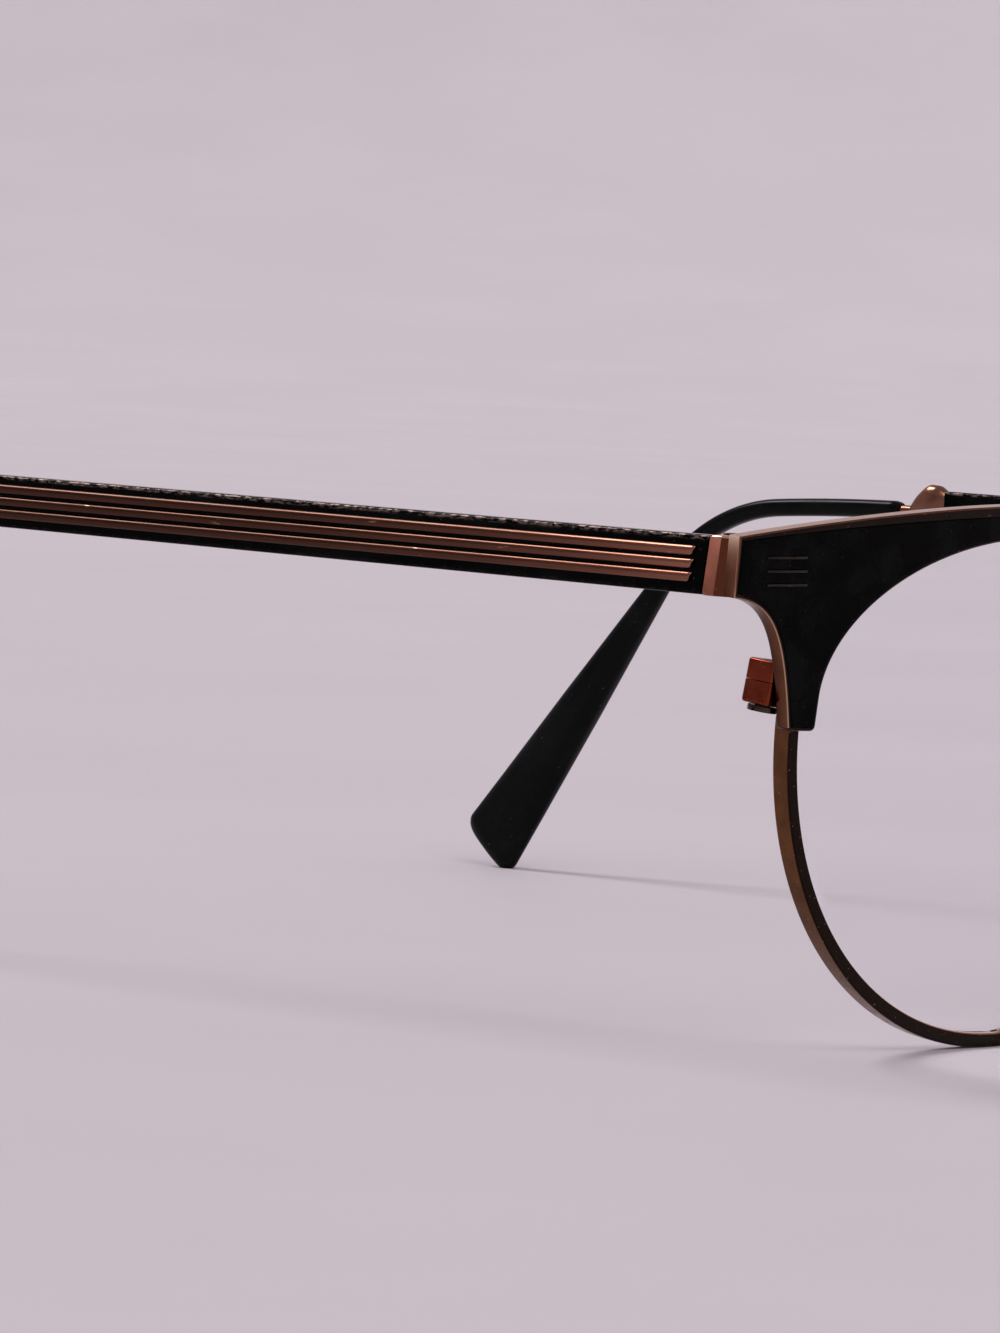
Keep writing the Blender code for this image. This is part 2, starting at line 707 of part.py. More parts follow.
def brow_room(name, gap):
    """What lies ahead of the brow plate's back beside the hinge, as a cutter."""
    outline = [
        Vector((HINGE_ACROSS - OVERRUN, ENDPIECE_BOTTOM - OVERRUN)),
        Vector((HALF_WIDTH + OVERRUN, ENDPIECE_BOTTOM - OVERRUN)),
        Vector((HALF_WIDTH + OVERRUN, ENDPIECE_TOP + OVERRUN)),
        Vector((HINGE_ACROSS - OVERRUN, ENDPIECE_TOP + OVERRUN)),
    ]
    room = add(name, plate(outline, BROW_FRONT - OVERRUN, BROW_BACK + gap), None, front, cutter=True)
    return bend_to_wrap(room)


def hinge_bore(name, frame):
    reach = KNUCKLE_HEIGHT * 2
    return add(name, cylinder(PIN_RADIUS + FIT_GAP, -reach, reach), None, frame, cutter=True)


def make_endpiece():
    """The front half of the hinge: a leaf on the brow's back with the upper and lower knuckles."""
    high = KNUCKLE_HEIGHT * 1.5 + RUNNING_GAP
    low = KNUCKLE_HEIGHT * 0.5 + RUNNING_GAP
    ahead = -HINGE_SETBACK - HINGE_ROOT_DEPTH
    leaf_back = -BARREL_RADIUS - RUNNING_GAP
    shapes = [box((-HINGE_ROOT_INNER, ahead, -high), (0, leaf_back, high))]
    for bottom, top in ((low, high), (-high, -low)):
        shapes.append(cylinder(BARREL_RADIUS, bottom, top))
        shapes.append(box((-BARREL_RADIUS, ahead, bottom), (BARREL_RADIUS / 2, 0, top)))
    piece = add("endpiece", joined(*shapes), rose_gold, hinge_left)
    boolean(piece, brow_room("brow_room_endpiece", FIT_GAP))
    boolean(piece, hinge_bore("endpiece_bore", hinge_left))
    return settle(piece)


def make_hinge_screw():
    high = KNUCKLE_HEIGHT * 1.5 + RUNNING_GAP
    shank = cylinder(PIN_RADIUS, -high, high + FIT_GAP * 2)
    head = cylinder(HINGE_HEAD_RADIUS, high + FIT_GAP, high + FIT_GAP + HINGE_HEAD_HEIGHT)
    piece = add("hinge_screw", joined(shank, head), rose_gold, hinge_left)
    top = high + FIT_GAP + HINGE_HEAD_HEIGHT
    slot = box(
        (-BARREL_RADIUS, -SCREW_SLOT_WIDTH / 2, top - SCREW_SLOT_DEPTH),
        (BARREL_RADIUS, SCREW_SLOT_WIDTH / 2, top + OVERRUN),
    )
    return settle(boolean(piece, add("hinge_screw_slot", slot, None, hinge_left, cutter=True)))


def make_temple_hinge():
    """The temple's half of the hinge: the middle knuckle on a leaf along the bar's inner side."""
    half_knuckle = KNUCKLE_HEIGHT / 2
    outside = TEMPLE_OUTSIDE - CAP_THICKNESS - FIT_GAP
    inside = outside - HINGE_LEAF_THICKNESS
    clear = BARREL_RADIUS + RUNNING_GAP * 3
    half_leaf = HINGE_LEAF_HEIGHT / 2
    shapes = [
        cylinder(BARREL_RADIUS, -half_knuckle, half_knuckle),
        box((inside, 0, -half_knuckle), (outside, clear + FIT_GAP, half_knuckle)),
        box((inside, clear, -half_leaf), (outside, clear + HINGE_LEAF_LENGTH, half_leaf)),
    ]
    piece = add("temple_hinge", joined(*shapes), rose_gold, temple_left)
    return settle(boolean(piece, hinge_bore("temple_bore", temple_left)))


def temple_section(inside, outside, half_up, along, shear=0.0):
    """A rounded section of the temple, leaning with the front where it is sheared."""
    half_across = (outside - inside) / 2
    points = oblong(half_across, half_up, BAR_ROUND)
    return [Vector(((inside + outside) / 2 + x, along - z * shear, z)) for x, z in points]


def make_temple_cap():
    """The bright band at the temple's front end, leaning with the front and bevelled towards the joint."""
    lean = math.tan(FRONT_TILT)
    butt = -HINGE_SETBACK
    inside = TEMPLE_OUTSIDE - CAP_THICKNESS
    half_up = CAP_HEIGHT / 2
    stations = (
        (butt - CAP_BEVEL_LENGTH * CAP_LEAD_SHARE, CAP_BEVEL_DEPTH * (1 + CAP_LEAD_SHARE), half_up),
        (butt + CAP_BEVEL_LENGTH, 0, half_up),
        (butt + CAP_LENGTH - BAR_ROUND, 0, half_up),
        (butt + CAP_LENGTH, BAR_ROUND / 2, half_up - BAR_ROUND / 2),
    )
    rings = [temple_section(inside, TEMPLE_OUTSIDE - drawn, up, along, lean) for along, drawn, up in stations]
    piece = add("temple_cap", loft(rings), rose_gold, temple_left)
    boolean(piece, brow_room("brow_room_cap", BUTT_GAP))
    return settle(piece)


def make_temple_bar():
    """The flat black bar, a little lower at its rear end."""
    lean = math.tan(FRONT_TILT)
    inside = TEMPLE_OUTSIDE - BAR_THICKNESS
    start = temple_section(inside, TEMPLE_OUTSIDE, BAR_HEIGHT / 2, BAR_START - HINGE_SETBACK, lean)
    end = temple_section(inside, TEMPLE_OUTSIDE, BAR_END_HEIGHT / 2, BAR_END - HINGE_SETBACK)
    return add("temple_bar", loft([start, end]), black_lacquer, temple_left)


def make_temple_rib(row):
    """One of the half-round ribs along the bar's outer face."""
    lean = math.tan(FRONT_TILT)
    level = RIB_PITCH * ((RIB_COUNT - 1) / 2 - row)
    start, end = BAR_START + RIB_SETBACK - HINGE_SETBACK, BAR_END - HINGE_SETBACK
    stations = [(start + RIB_PROUD * ahead, share) for ahead, share in RIB_NOSE_SHARES] + [(end, 1)]
    rings = []
    for along, share in stations:
        shear = lean if along < end else 0
        ring = []
        for step in range(SECTION_STEPS // 2 + 1):
            angle = math.pi * step / (SECTION_STEPS // 2) - math.pi / 2
            out = TEMPLE_OUTSIDE + FIT_GAP + RIB_PROUD * share * math.cos(angle)
            up = level + RIB_WIDTH / 2 * share * math.sin(angle)
            ring.append(Vector((out, along - up * shear, up)))
        rings.append(ring)
    return add(f"temple_rib_{row + 1}", loft(rings), rose_gold, temple_left)


def temple_place(along):
    """(back, up, angle) of the temple's centre line at this distance behind its front end."""
    back, up, angle, reached = -HINGE_SETBACK, 0.0, 0.0, 0.0
    for start, turn, radius in ((DROOP_AT, DROOP_ANGLE, DROOP_RADIUS), (BEND_AT, BEND_ANGLE, BEND_RADIUS)):
        straight = max(0.0, min(along, start) - reached)
        swept = min(turn, max(0.0, along - start) / radius)
        back += straight * math.cos(angle) + radius * (math.sin(angle + swept) - math.sin(angle))
        up -= straight * math.sin(angle) + radius * (math.cos(angle) - math.cos(angle + swept))
        angle += swept
        reached = start + turn * radius
    rest = max(0.0, along - reached)
    return back + rest * math.cos(angle), up - rest * math.sin(angle), angle


def core_middle():
    return TEMPLE_OUTSIDE - BAR_THICKNESS / 2


def bend_stations():
    """Distances along the temple that follow its bend closely and its straights loosely."""
    steps = [BEND_RADIUS * BEND_ANGLE * step / CURVE_STEPS for step in range(CURVE_STEPS + 1)]
    return [DROOP_AT, (DROOP_AT + BEND_AT) / 2] + [BEND_AT + step for step in steps]


def core_points(start, end):
    """The core wire's centre line between two distances along the temple."""
    stations = [start] + [station for station in bend_stations() if start < station < end] + [end]
    return [Vector((core_middle(), *temple_place(station)[:2])) for station in stations]


def sleeve_end():
    """How far along the temple its tip reaches the table."""
    bend_end = bend_stations()[-1]
    back, up, angle = temple_place(bend_end)
    lean = angle - TEMPLE_RISE
    height = hinge_left.matrix_world.translation.z + up * math.cos(TEMPLE_RISE) + back * math.sin(TEMPLE_RISE)
    corner = TIP_WIDTH / 2 * (math.cos(lean) + math.tan(TIP_END_SKEW) * math.sin(lean))
    rounding = TIP_END_ROUND * (math.sin(lean) + math.cos(lean) - 1)
    return bend_end + (height - corner + rounding + TIP_FLAT) / math.sin(lean)


def sleeve_ring(along, width, thickness):
    """A section of the tip sleeve, square to the centre line except for the skewed end."""
    end = sleeve_end()
    back, up, angle = temple_place(along)
    skew = math.tan(TIP_END_SKEW) * max(0.0, 1 - (end - along) / TIP_WIDTH)
    ring = []
    for side, across in oval(thickness / 2, width / 2, OVAL_SQUARENESS_SHARE):
        forward = -across * skew
        y = back + forward * math.cos(angle) + across * math.sin(angle)
        z = up - forward * math.sin(angle) + across * math.cos(angle)
        ring.append(Vector((core_middle() + side, y, z)))
    return ring


def make_temple_tip():
    """The black sleeve: a thin neck, the bend behind the ear and a paddle that rests on the table."""
    end = sleeve_end()
    full = end - TIP_END_ROUND
    bend_end = bend_stations()[-1]
    lead = SLEEVE_START + NECK_LEAD
    stations = [(SLEEVE_START, NECK_LEAD_SHARE), (lead, 1)]
    stations += [(station, 1) for station in bend_stations() if station > lead]
    stations += [(bend_end + (full - bend_end) * share, 1) for share in TIP_STATION_SHARES]
    rings = []
    for along, scale in stations:
        swell = max(0.0, (along - SWELL_AT) / (full - SWELL_AT))
        width = NECK_HEIGHT + (TIP_WIDTH - NECK_HEIGHT) * swell
        belly = NECK_THICKNESS + (TIP_THICKNESS - NECK_THICKNESS) * min(swell * 2, 1)
        thickness = belly + (TIP_END_THICKNESS - TIP_THICKNESS) * max(0.0, swell * 2 - 1)
        rings.append(sleeve_ring(along, width * scale, thickness * scale))
    for quarter in (1, 2, 3):
        angle = math.radians(30) * quarter
        drawn = TIP_END_ROUND * (1 - math.cos(angle))
        along = full + TIP_END_ROUND * math.sin(angle)
        rings.append(sleeve_ring(along, TIP_WIDTH - 2 * drawn, TIP_END_THICKNESS - drawn))
    piece = add("temple_tip", loft(rings), black_acetate, temple_left)
    bore = wire(core_points(SLEEVE_START - OVERRUN, end - TIP_SOLID_END + FIT_GAP), CORE_RADIUS + FIT_GAP)
    boolean(piece, add("core_bore", bore, None, temple_left, cutter=True))
    reach = HALF_WIDTH * 3
    table = box((-reach, -reach, -reach), (reach, reach, 0))
    boolean(piece, add("table_level", table, None, None, cutter=True))
    return settle(piece)


def make_core_wire():
    points = core_points(COLLAR_END - COLLAR_SOCKET, sleeve_end() - TIP_SOLID_END)
    return add("core_wire", wire(points, CORE_RADIUS), rose_gold, temple_left)


def make_temple_collar():
    """The raised collar that joins the flat bar to the round core."""
    start = BAR_END + FIT_GAP - HINGE_SETBACK
    rings = []
    for along_share, share in COLLAR_SWELL_SHARES:
        thickness = BAR_THICKNESS + (COLLAR_THICKNESS - BAR_THICKNESS) * share
        rings.append((along_share, thickness, BAR_END_HEIGHT + (COLLAR_HEIGHT - BAR_END_HEIGHT) * share))
    for along_share, share in COLLAR_TAPER_SHARES:
        thickness = COLLAR_THICKNESS + (COLLAR_NECK - COLLAR_THICKNESS) * share
        rings.append((along_share, thickness, COLLAR_HEIGHT + (COLLAR_NECK - COLLAR_HEIGHT) * share))
    skins = []
    for along_share, thickness, height in rings:
        section = oval(thickness / 2, height / 2, OVAL_SQUARENESS_SHARE)
        along = start + COLLAR_LENGTH * along_share
        skins.append([Vector((core_middle() + x, along, z)) for x, z in section])
    piece = add("temple_collar", loft(skins), rose_gold, temple_left)
    socket = wire(core_points(COLLAR_END - COLLAR_SOCKET - FIT_GAP, SLEEVE_START), CORE_RADIUS + FIT_GAP)
    return settle(boolean(piece, add("collar_socket", socket, None, temple_left, cutter=True)))


def make_bridge():
    """The arched bar between the eyewires, trimmed to their outer sides."""
    side = lens_point(BRIDGE_TURN_SHARE, -LENS_SEAT)
    top = Vector((0, side.y + BRIDGE_ARCH))
    side_handle = side + Vector((-side.x * BRIDGE_HANDLE_SHARES[0], BRIDGE_ARCH))
    half = bezier(side, side_handle, top + Vector((side.x * BRIDGE_HANDLE_SHARES[1], 0)), top)
    path = half + [Vector((-point.x, point.y)) for point in reversed(half[:-1])]
    rings = []
    for i, point in enumerate(path):
        before, after = path[max(i - 1, 0)], path[min(i + 1, len(path) - 1)]
        along = (after - before).normalized()
        normal = Vector((along.y, -along.x))
        ring = []
        for back, out in oval(BRIDGE_THICKNESS / 2, BRIDGE_HEIGHT / 2, OVAL_SQUARENESS_SHARE):
            place = point + normal * out
            ring.append(Vector((place.x, wrap(place.x) + RIM_DEPTH / 2 + back, place.y)))
        rings.append(ring)
    piece = add("bridge", loft(rings), rose_gold, front)
    for sign, name in ((1, "bridge_room_left"), (-1, "bridge_room_right")):
        points = [lens_point(step / RIM_STEPS, RIM_OUTSIDE + FIT_GAP) for step in range(RIM_STEPS)]
        outline = [Vector((sign * point.x, point.y)) for point in points]
        room = add(name, plate(outline, -OVERRUN - WRAP_DEPTH, OVERRUN), None, front, cutter=True)
        boolean(piece, room)
    return settle(piece)


def make_pad_frame():
    """A frame on the pad's rocking axis: X out of the nose, Y along the screw, Z up the pad."""
    frame = empty("pad_pivot_left", front)
    frame.location = (PAD_SPACING / 2, wrap(PAD_SPACING / 2) + PAD_SETBACK, PAD_LEVEL)
    turned = Matrix.Rotation(-PAD_SPLAY, 3, "Z") @ Matrix.Rotation(-PAD_LEAN, 3, "Y")
    frame.rotation_euler = turned.to_euler()
    twin = empty("pad_pivot_right", front)
    twin.location = (-frame.location.x, frame.location.y, frame.location.z)
    twin.rotation_euler = (Matrix.Rotation(PAD_SPLAY, 3, "Z") @ Matrix.Rotation(PAD_LEAN, 3, "Y")).to_euler()
    return frame, twin


def make_nose_pad(frame):
    """A teardrop pad with the tab that hangs on the pad screw."""
    inner = -PAD_TAB_REACH - PAD_THICKNESS
    rings = []
    for depth_share, size_share in PAD_LAYER_SHARES:
        ring = []
        for step in range(ROUND_STEPS):
            angle = 2 * math.pi * step / ROUND_STEPS
            up = math.sin(angle)
            narrow = 1 - (1 - PAD_TAPER_SHARE) * (up + 1) / 2
            across = PAD_WIDTH / 2 * math.cos(angle) * narrow * size_share
            crown = PAD_CROWN * (1 - up**2) * (1 - depth_share)
            depth = inner + PAD_THICKNESS * depth_share - crown
            ring.append(Vector((depth, across, PAD_HEIGHT / 2 * up * size_share)))
        rings.append(ring)
    half_tab = PAD_TAB_THICKNESS / 2
    eye = cylinder(PAD_TAB_RADIUS, -half_tab, half_tab)
    eye.transform(Matrix.Rotation(math.pi / 2, 4, "X"))
    half_height = PAD_TAB_HEIGHT / 2
    tab = box((-PAD_TAB_REACH - PAD_TAB_SUNK, -half_tab, -half_height), (0, half_tab, half_height))
    piece = add("nose_pad", joined(loft(rings), eye, tab), silicone, frame)
    hole = cylinder(PAD_PIN_RADIUS + FIT_GAP, -OVERRUN, OVERRUN)
    hole.transform(Matrix.Rotation(math.pi / 2, 4, "X"))
    return settle(boolean(piece, add("pad_eye", hole, None, frame, cutter=True)))


def make_pad_box(frame):
    """The open box at the pad arm's end, with a cheek on each side of the tab."""
    half_slot = PAD_TAB_THICKNESS / 2 + RUNNING_GAP
    half_box = half_slot + BOX_WALL
    back = PAD_TAB_RADIUS + RUNNING_GAP
    low, high = -BOX_HEIGHT / 2, BOX_HEIGHT / 2
    shape = box((-PAD_TAB_RADIUS, -half_box, low), (back + BOX_WALL, half_box, high))
    piece = add("pad_box", shape, rose_gold, frame)
    slot = box((-OVERRUN, -half_slot, -OVERRUN), (back, half_slot, OVERRUN))
    boolean(piece, add("box_slot", slot, None, frame, cutter=True))
    hole = cylinder(PAD_PIN_RADIUS + FIT_GAP, -OVERRUN, OVERRUN)
    hole.transform(Matrix.Rotation(math.pi / 2, 4, "X"))
    boolean(piece, add("box_hole", hole, None, frame, cutter=True))
    return settle(piece)


def make_pad_screw(frame):
    half_box = PAD_TAB_THICKNESS / 2 + RUNNING_GAP + BOX_WALL
    seat = -half_box - FIT_GAP
    shank = cylinder(PAD_PIN_RADIUS, seat - FIT_GAP, half_box)
    head = cylinder(PAD_HEAD_RADIUS, seat - PAD_HEAD_HEIGHT, seat)
    mesh = joined(shank, head)
    mesh.transform(Matrix.Rotation(math.pi / 2, 4, "X"))
    return add("pad_screw", mesh, rose_gold, frame)


def make_pad_arm(frame):
    """The curved wire from the back of the eyewire to the pad box."""
    rim_middle = (RIM_OUTSIDE - LENS_SEAT) / 2
    across, up = lens_point(ARM_TURN_SHARE, rim_middle)
    start = Vector((across, wrap(across) + RIM_DEPTH + FIT_GAP, up))
    bpy.context.view_layer.update()
    seat = frame.matrix_local @ Vector((PAD_TAB_RADIUS + RUNNING_GAP + BOX_WALL + FIT_GAP, 0, 0))
    out = (frame.matrix_local.to_3x3() @ Vector((1, 0, 0))).normalized()
    leave = start + Vector((0, ARM_BACK, 0))
    arrive = seat + out * ARM_LEAD
    points = interpolate_bezier(start, leave, arrive + out * ARM_SWEEP, arrive, CURVE_STEPS * 2)
    return add("pad_arm", wire(points + [seat], ARM_RADIUS), rose_gold, front)


def place_hinge_frames():
    """Frames on the two hinge axes: upright ones for the front's half, and the temples' own."""
    bpy.context.view_layer.update()
    plate_back = wrap(HINGE_ACROSS) + BROW_BACK
    axis = front.matrix_world @ Vector((HINGE_ACROSS, plate_back, HINGE_LEVEL))
    frames = []
    for side, name in ((1, "left"), (-1, "right")):
        upright = empty("hinge_axis_" + name, stand)
        upright.location = (side * axis.x, axis.y + HINGE_SETBACK, axis.z)
        temple = empty("temple_frame_" + name, upright)
        temple.rotation_euler = (TEMPLE_RISE, 0, side * TEMPLE_SPLAY)
        frames += [upright, temple]
    bpy.context.view_layer.update()
    return frames


def stand_on_origin():
    """Moves the whole frame so that its box stands centred on the origin."""
    bpy.context.view_layer.update()
    pieces = [piece for piece in parts.objects if piece.type == "MESH"]
    corners = [piece.matrix_world @ Vector(corner) for piece in pieces for corner in piece.bound_box]
    middle = [(min(c[i] for c in corners) + max(c[i] for c in corners)) / 2 for i in (0, 1)]
    stand.location = (-middle[0], -middle[1], 0)


for old in list(bpy.data.objects):
    bpy.data.objects.remove(old)
parts = bpy.data.collections.new("eyeglass_frame")
cutters = bpy.data.collections.new("cutters")
bpy.context.scene.collection.children.link(parts)
bpy.context.scene.collection.children.link(cutters)

rose_gold = material("rose_gold", (0.72, 0.40, 0.27), 0.25, metallic=1.0)
black_lacquer = material("black_lacquer", (0.012, 0.011, 0.012), 0.12)
black_acetate = material("black_acetate", (0.015, 0.014, 0.014), 0.2)
clear_lens = material("clear_lens", (0.95, 0.97, 0.97), 0.02, transmission=1.0)
silicone = material("silicone", (0.88, 0.87, 0.84), 0.35, transmission=0.6)

stand = empty("stand")
front = empty("front_frame", stand)
front.rotation_euler = (FRONT_TILT, 0, 0)

eyewire = make_eyewire()
front.location.z = -lowest(eyewire)
hinge_left, temple_left, hinge_right, temple_right = place_hinge_frames()

both_sides(eyewire)
both_sides(make_lens())
brow_face_edge = brow_outline(FACE_END_DROP, FACE_CROWN_DROP)
both_sides(make_brow_plate(brow_outline(), brow_face_edge))
both_sides(make_brow_face(brow_face_edge))
for number, line in enumerate(line_outlines(0.0), start=1):
    both_sides(make_brow_line(number, line))
lock_left, lock_right = make_lock_frames()
both_sides(make_lock_half("lock_upper", 1), lock_right)
both_sides(make_lock_half("lock_lower", -1), lock_right)
both_sides(make_lock_screw(), lock_right)
make_bridge()

pad_left, pad_right = make_pad_frame()
both_sides(make_pad_arm(pad_left))
both_sides(make_pad_box(pad_left), pad_right)
both_sides(make_pad_screw(pad_left), pad_right)
both_sides(make_nose_pad(pad_left), pad_right)

both_sides(make_endpiece(), hinge_right)
both_sides(make_hinge_screw(), hinge_right)
both_sides(make_temple_hinge(), temple_right)
both_sides(make_temple_cap(), temple_right)
both_sides(make_temple_bar(), temple_right)
for number in range(RIB_COUNT):
    both_sides(make_temple_rib(number), temple_right)
both_sides(make_temple_collar(), temple_right)
both_sides(make_core_wire(), temple_right)
both_sides(make_temple_tip(), temple_right)

stand_on_origin()
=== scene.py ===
"""Looks of the browline eyeglass frame: its pieces in fine curves, their finishes, floor, light and camera.

The named sizes repeat the CAD's, and every piece is built in the row frame where its CAD node stands.
Pairs are built on the wearer's left (+X) and mirrored for the right.
"""

import json
import math

import bmesh
import bpy
from mathutils import Euler, Matrix, Vector
from mathutils.geometry import interpolate_bezier
from mathutils.kdtree import KDTree


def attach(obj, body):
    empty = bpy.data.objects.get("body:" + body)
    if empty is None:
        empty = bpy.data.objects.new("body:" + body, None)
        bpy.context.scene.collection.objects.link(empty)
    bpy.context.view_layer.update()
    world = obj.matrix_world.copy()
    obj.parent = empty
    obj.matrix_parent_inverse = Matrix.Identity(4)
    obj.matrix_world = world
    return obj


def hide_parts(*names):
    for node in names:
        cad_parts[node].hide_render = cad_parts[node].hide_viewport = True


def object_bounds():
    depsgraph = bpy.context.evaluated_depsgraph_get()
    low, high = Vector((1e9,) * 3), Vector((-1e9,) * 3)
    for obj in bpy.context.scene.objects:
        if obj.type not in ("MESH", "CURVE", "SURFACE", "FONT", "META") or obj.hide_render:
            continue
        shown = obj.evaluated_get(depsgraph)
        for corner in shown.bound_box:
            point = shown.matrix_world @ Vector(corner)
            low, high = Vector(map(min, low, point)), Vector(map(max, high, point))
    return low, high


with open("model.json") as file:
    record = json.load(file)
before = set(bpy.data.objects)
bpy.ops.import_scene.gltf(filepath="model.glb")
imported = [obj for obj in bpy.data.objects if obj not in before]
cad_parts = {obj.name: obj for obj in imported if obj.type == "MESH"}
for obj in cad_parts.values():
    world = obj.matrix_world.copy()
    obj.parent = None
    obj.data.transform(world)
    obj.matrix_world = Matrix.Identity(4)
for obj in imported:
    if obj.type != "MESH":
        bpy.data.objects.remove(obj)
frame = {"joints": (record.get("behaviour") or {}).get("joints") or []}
cad_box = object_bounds()

MM = 0.001

# Lens outline
LENS_WIDTH = 49.2 * MM
LENS_HEIGHT = 41.75 * MM
LENS_SPACING = 20.7 * MM
LENS_WIDEST_SHARE = 0.668
LENS_TOP_SHARE = 0.48
LENS_BOTTOM_SHARE = 0.40
LENS_SQUARENESS_SHARES = (1.96, 2.2, 1.9, 2.08)
LENS_THICKNESS = 0.9 * MM
LENS_BULGE = 1.5 * MM
LENS_RING_SHARES = (0.96, 0.88, 0.78, 0.66, 0.54, 0.42, 0.3, 0.2, 0.1, 0.04)

# Eyewire
RIM_WIDTH = 1.15 * MM
RIM_DEPTH = 1.5 * MM
RIM_ROUND = 0.15 * MM
LENS_SEAT = 0.4 * MM
GROOVE_WIDTH = 1.1 * MM
SPLIT_GAP = 0.12 * MM
SEAM_GAP = 0.03 * MM
SEAM_EDGE = 0.06 * MM

# The front
BROW_REACH = 9.95 * MM
WRAP_DEPTH = 3.9 * MM
FRONT_TILT = math.radians(6.3)
BROW_FORWARD = 0.97 * MM
BROW_DEPTH = 1.2 * MM
BROW_BORDER = 0.25 * MM
BROW_EDGE = 0.15 * MM
BROW_LAP = 0.7 * MM
BROW_RISE = 1.5 * MM
BROW_FOOT_DROP = 2.7 * MM
BROW_FOOT_WIDTH = 3.0 * MM
BROW_CORNER = 0.45 * MM
BROW_NASAL_OVERHANG = 0.9 * MM
BROW_NASAL_TURN_SHARE = 0.40
BROW_NASAL_STEP_SHARE = 1 / 60
BROW_TOP_LEAVE_SHARE = 3
NEAR_EDGE_SHARE = 1.5
BEVEL_END_SHARE = 0.7
BEVEL_PAINTED_HIGHLIGHT_SHARE = 0.87
BACK_SHADE_SHARE = 0.25
ENDPIECE_HEIGHT = 4.7 * MM
ENDPIECE_DROP = 1.7 * MM
ENDPIECE_SLANT = 0.25 * MM
BROW_END_HANDLE_SHARES = (0.27, 0.47)
BROW_CROWN_HANDLE_SHARES = (0.27, 0.42)
BROW_NASAL_HANDLE_SHARE = 0.9
BROW_FILLET_START_SHARES = (0.55, 0.03)
BROW_FILLET_END_SHARES = (0.242, 0.763)
FACE_DEPTH = 0.5 * MM
FACE_END_DROP = 0.08 * MM
FACE_CROWN_DROP = 0.6 * MM
FACE_PROUD = 0.06 * MM
FACE_EDGE = 0.12 * MM
LINE_LENGTH = 4.4 * MM
LINE_WIDTH = 0.22 * MM
LINE_PROUD = 0.1 * MM
LINE_SUNK = 0.15 * MM
LINE_PITCH = 1.05 * MM
LINE_STEP_IN = 0.21 * MM
LINE_MARGIN = 2.85 * MM
LINE_TOP_DROP = 1.46 * MM
LINE_SLOPE = math.radians(1.3)
LINE_EDGE = 0.06 * MM

# Closing block
LOCK_TURN_SHARE = 0.0065
LOCK_WIDTH = 2.4 * MM
LOCK_DEPTH = 2.6 * MM
LOCK_SETBACK = 0.5 * MM
LOCK_UPPER_HEIGHT = 1.6 * MM
LOCK_LOWER_HEIGHT = 1.75 * MM
LOCK_ROOT = 0.9 * MM
LOCK_EDGE = 0.25 * MM
LOCK_SCREW_RADIUS = 0.6 * MM
LOCK_HEAD_RADIUS = 1.15 * MM
LOCK_HEAD_HEIGHT = 0.5 * MM

# Hinge
BARREL_RADIUS = 1.15 * MM
PIN_RADIUS = 0.6 * MM
HINGE_SETBACK = 1.9 * MM
HINGE_DROP = 0.08 * MM
KNUCKLE_HEIGHT = 1.25 * MM
HINGE_LEAF_THICKNESS = 1.0 * MM
HINGE_LEAF_HEIGHT = 3.4 * MM
HINGE_LEAF_LENGTH = 9.0 * MM
HINGE_LEAF_CLEAR = 0.3 * MM
HINGE_ROOT_INNER = 2.4 * MM
HINGE_ROOT_DEPTH = 1.0 * MM
HINGE_HEAD_RADIUS = 1.0 * MM
HINGE_HEAD_HEIGHT = 0.42 * MM
HINGE_EDGE = 0.08 * MM
SCREW_SLOT_WIDTH = 0.3 * MM
SCREW_SLOT_DEPTH = 0.2 * MM
SCREW_EDGE = 0.1 * MM

# Temple
TEMPLE_SPLAY = math.radians(1.0)
TEMPLE_RISE = math.radians(0.4)
CAP_LENGTH = 2.3 * MM
CAP_BEVEL_LENGTH = 1.15 * MM
CAP_BEVEL_DEPTH = 0.5 * MM
CAP_LEAD_SHARE = 1 / 3
CAP_REAR_SHARES = ((1, 0), (1 / 3, 1 / 8), (0, 1 / 2))
CAP_THICKNESS = 1.8 * MM
CAP_HEIGHT = 4.65 * MM
CAP_PAINTED_SHADE_SHARE = 0.7
CAP_PAINTED_HIGHLIGHT_SHARE = 0.92
BAR_LENGTH = 75.6 * MM
BAR_THICKNESS = 1.5 * MM
BAR_HEIGHT = 4.55 * MM
BAR_END_HEIGHT = 4.25 * MM
BAR_ROUND = 0.25 * MM
BAR_WEAR = 0.16 * MM
BAR_WEAR_BELOW_SHARE = 0.35
BAR_WORN_SHARES = (0.05, 0.9)
RIB_WIDTH = 0.82 * MM
RIB_PROUD = 0.3 * MM
RIB_PITCH = 1.0 * MM
RIB_SETBACK = 0.95 * MM
RIB_COUNT = 3
RIB_CHISEL = math.radians(24)
RIB_NOSE_SHARES = ((0, 0.72), (0.15, 0.86), (0.4, 0.96), (1, 1))
RIB_PAINTED_SHADE_POWER = 5
COLLAR_LENGTH = 4.0 * MM
COLLAR_HEIGHT = 5.3 * MM
COLLAR_THICKNESS = 2.4 * MM
COLLAR_SOCKET = 2.6 * MM
COLLAR_NECK = 1.35 * MM
COLLAR_SWELL_SHARES = ((0, -0.2), (0.08, 0.25), (0.22, 0.85), (0.36, 1), (0.55, 0.85))
COLLAR_TAPER_SHARES = ((0.82, 0.5), (1, 1))
CORE_RADIUS = 0.5 * MM
CORE_BARE = 1.4 * MM
DROOP_AT = 80.0 * MM
DROOP_RADIUS = 215.0 * MM
DROOP_ANGLE = math.radians(4.7)
BEND_AT = 98.0 * MM
BEND_RADIUS = 18.0 * MM
BEND_ANGLE = math.radians(50.2)
NECK_HEIGHT = 1.75 * MM
NECK_THICKNESS = 1.9 * MM
NECK_LEAD = 0.6 * MM
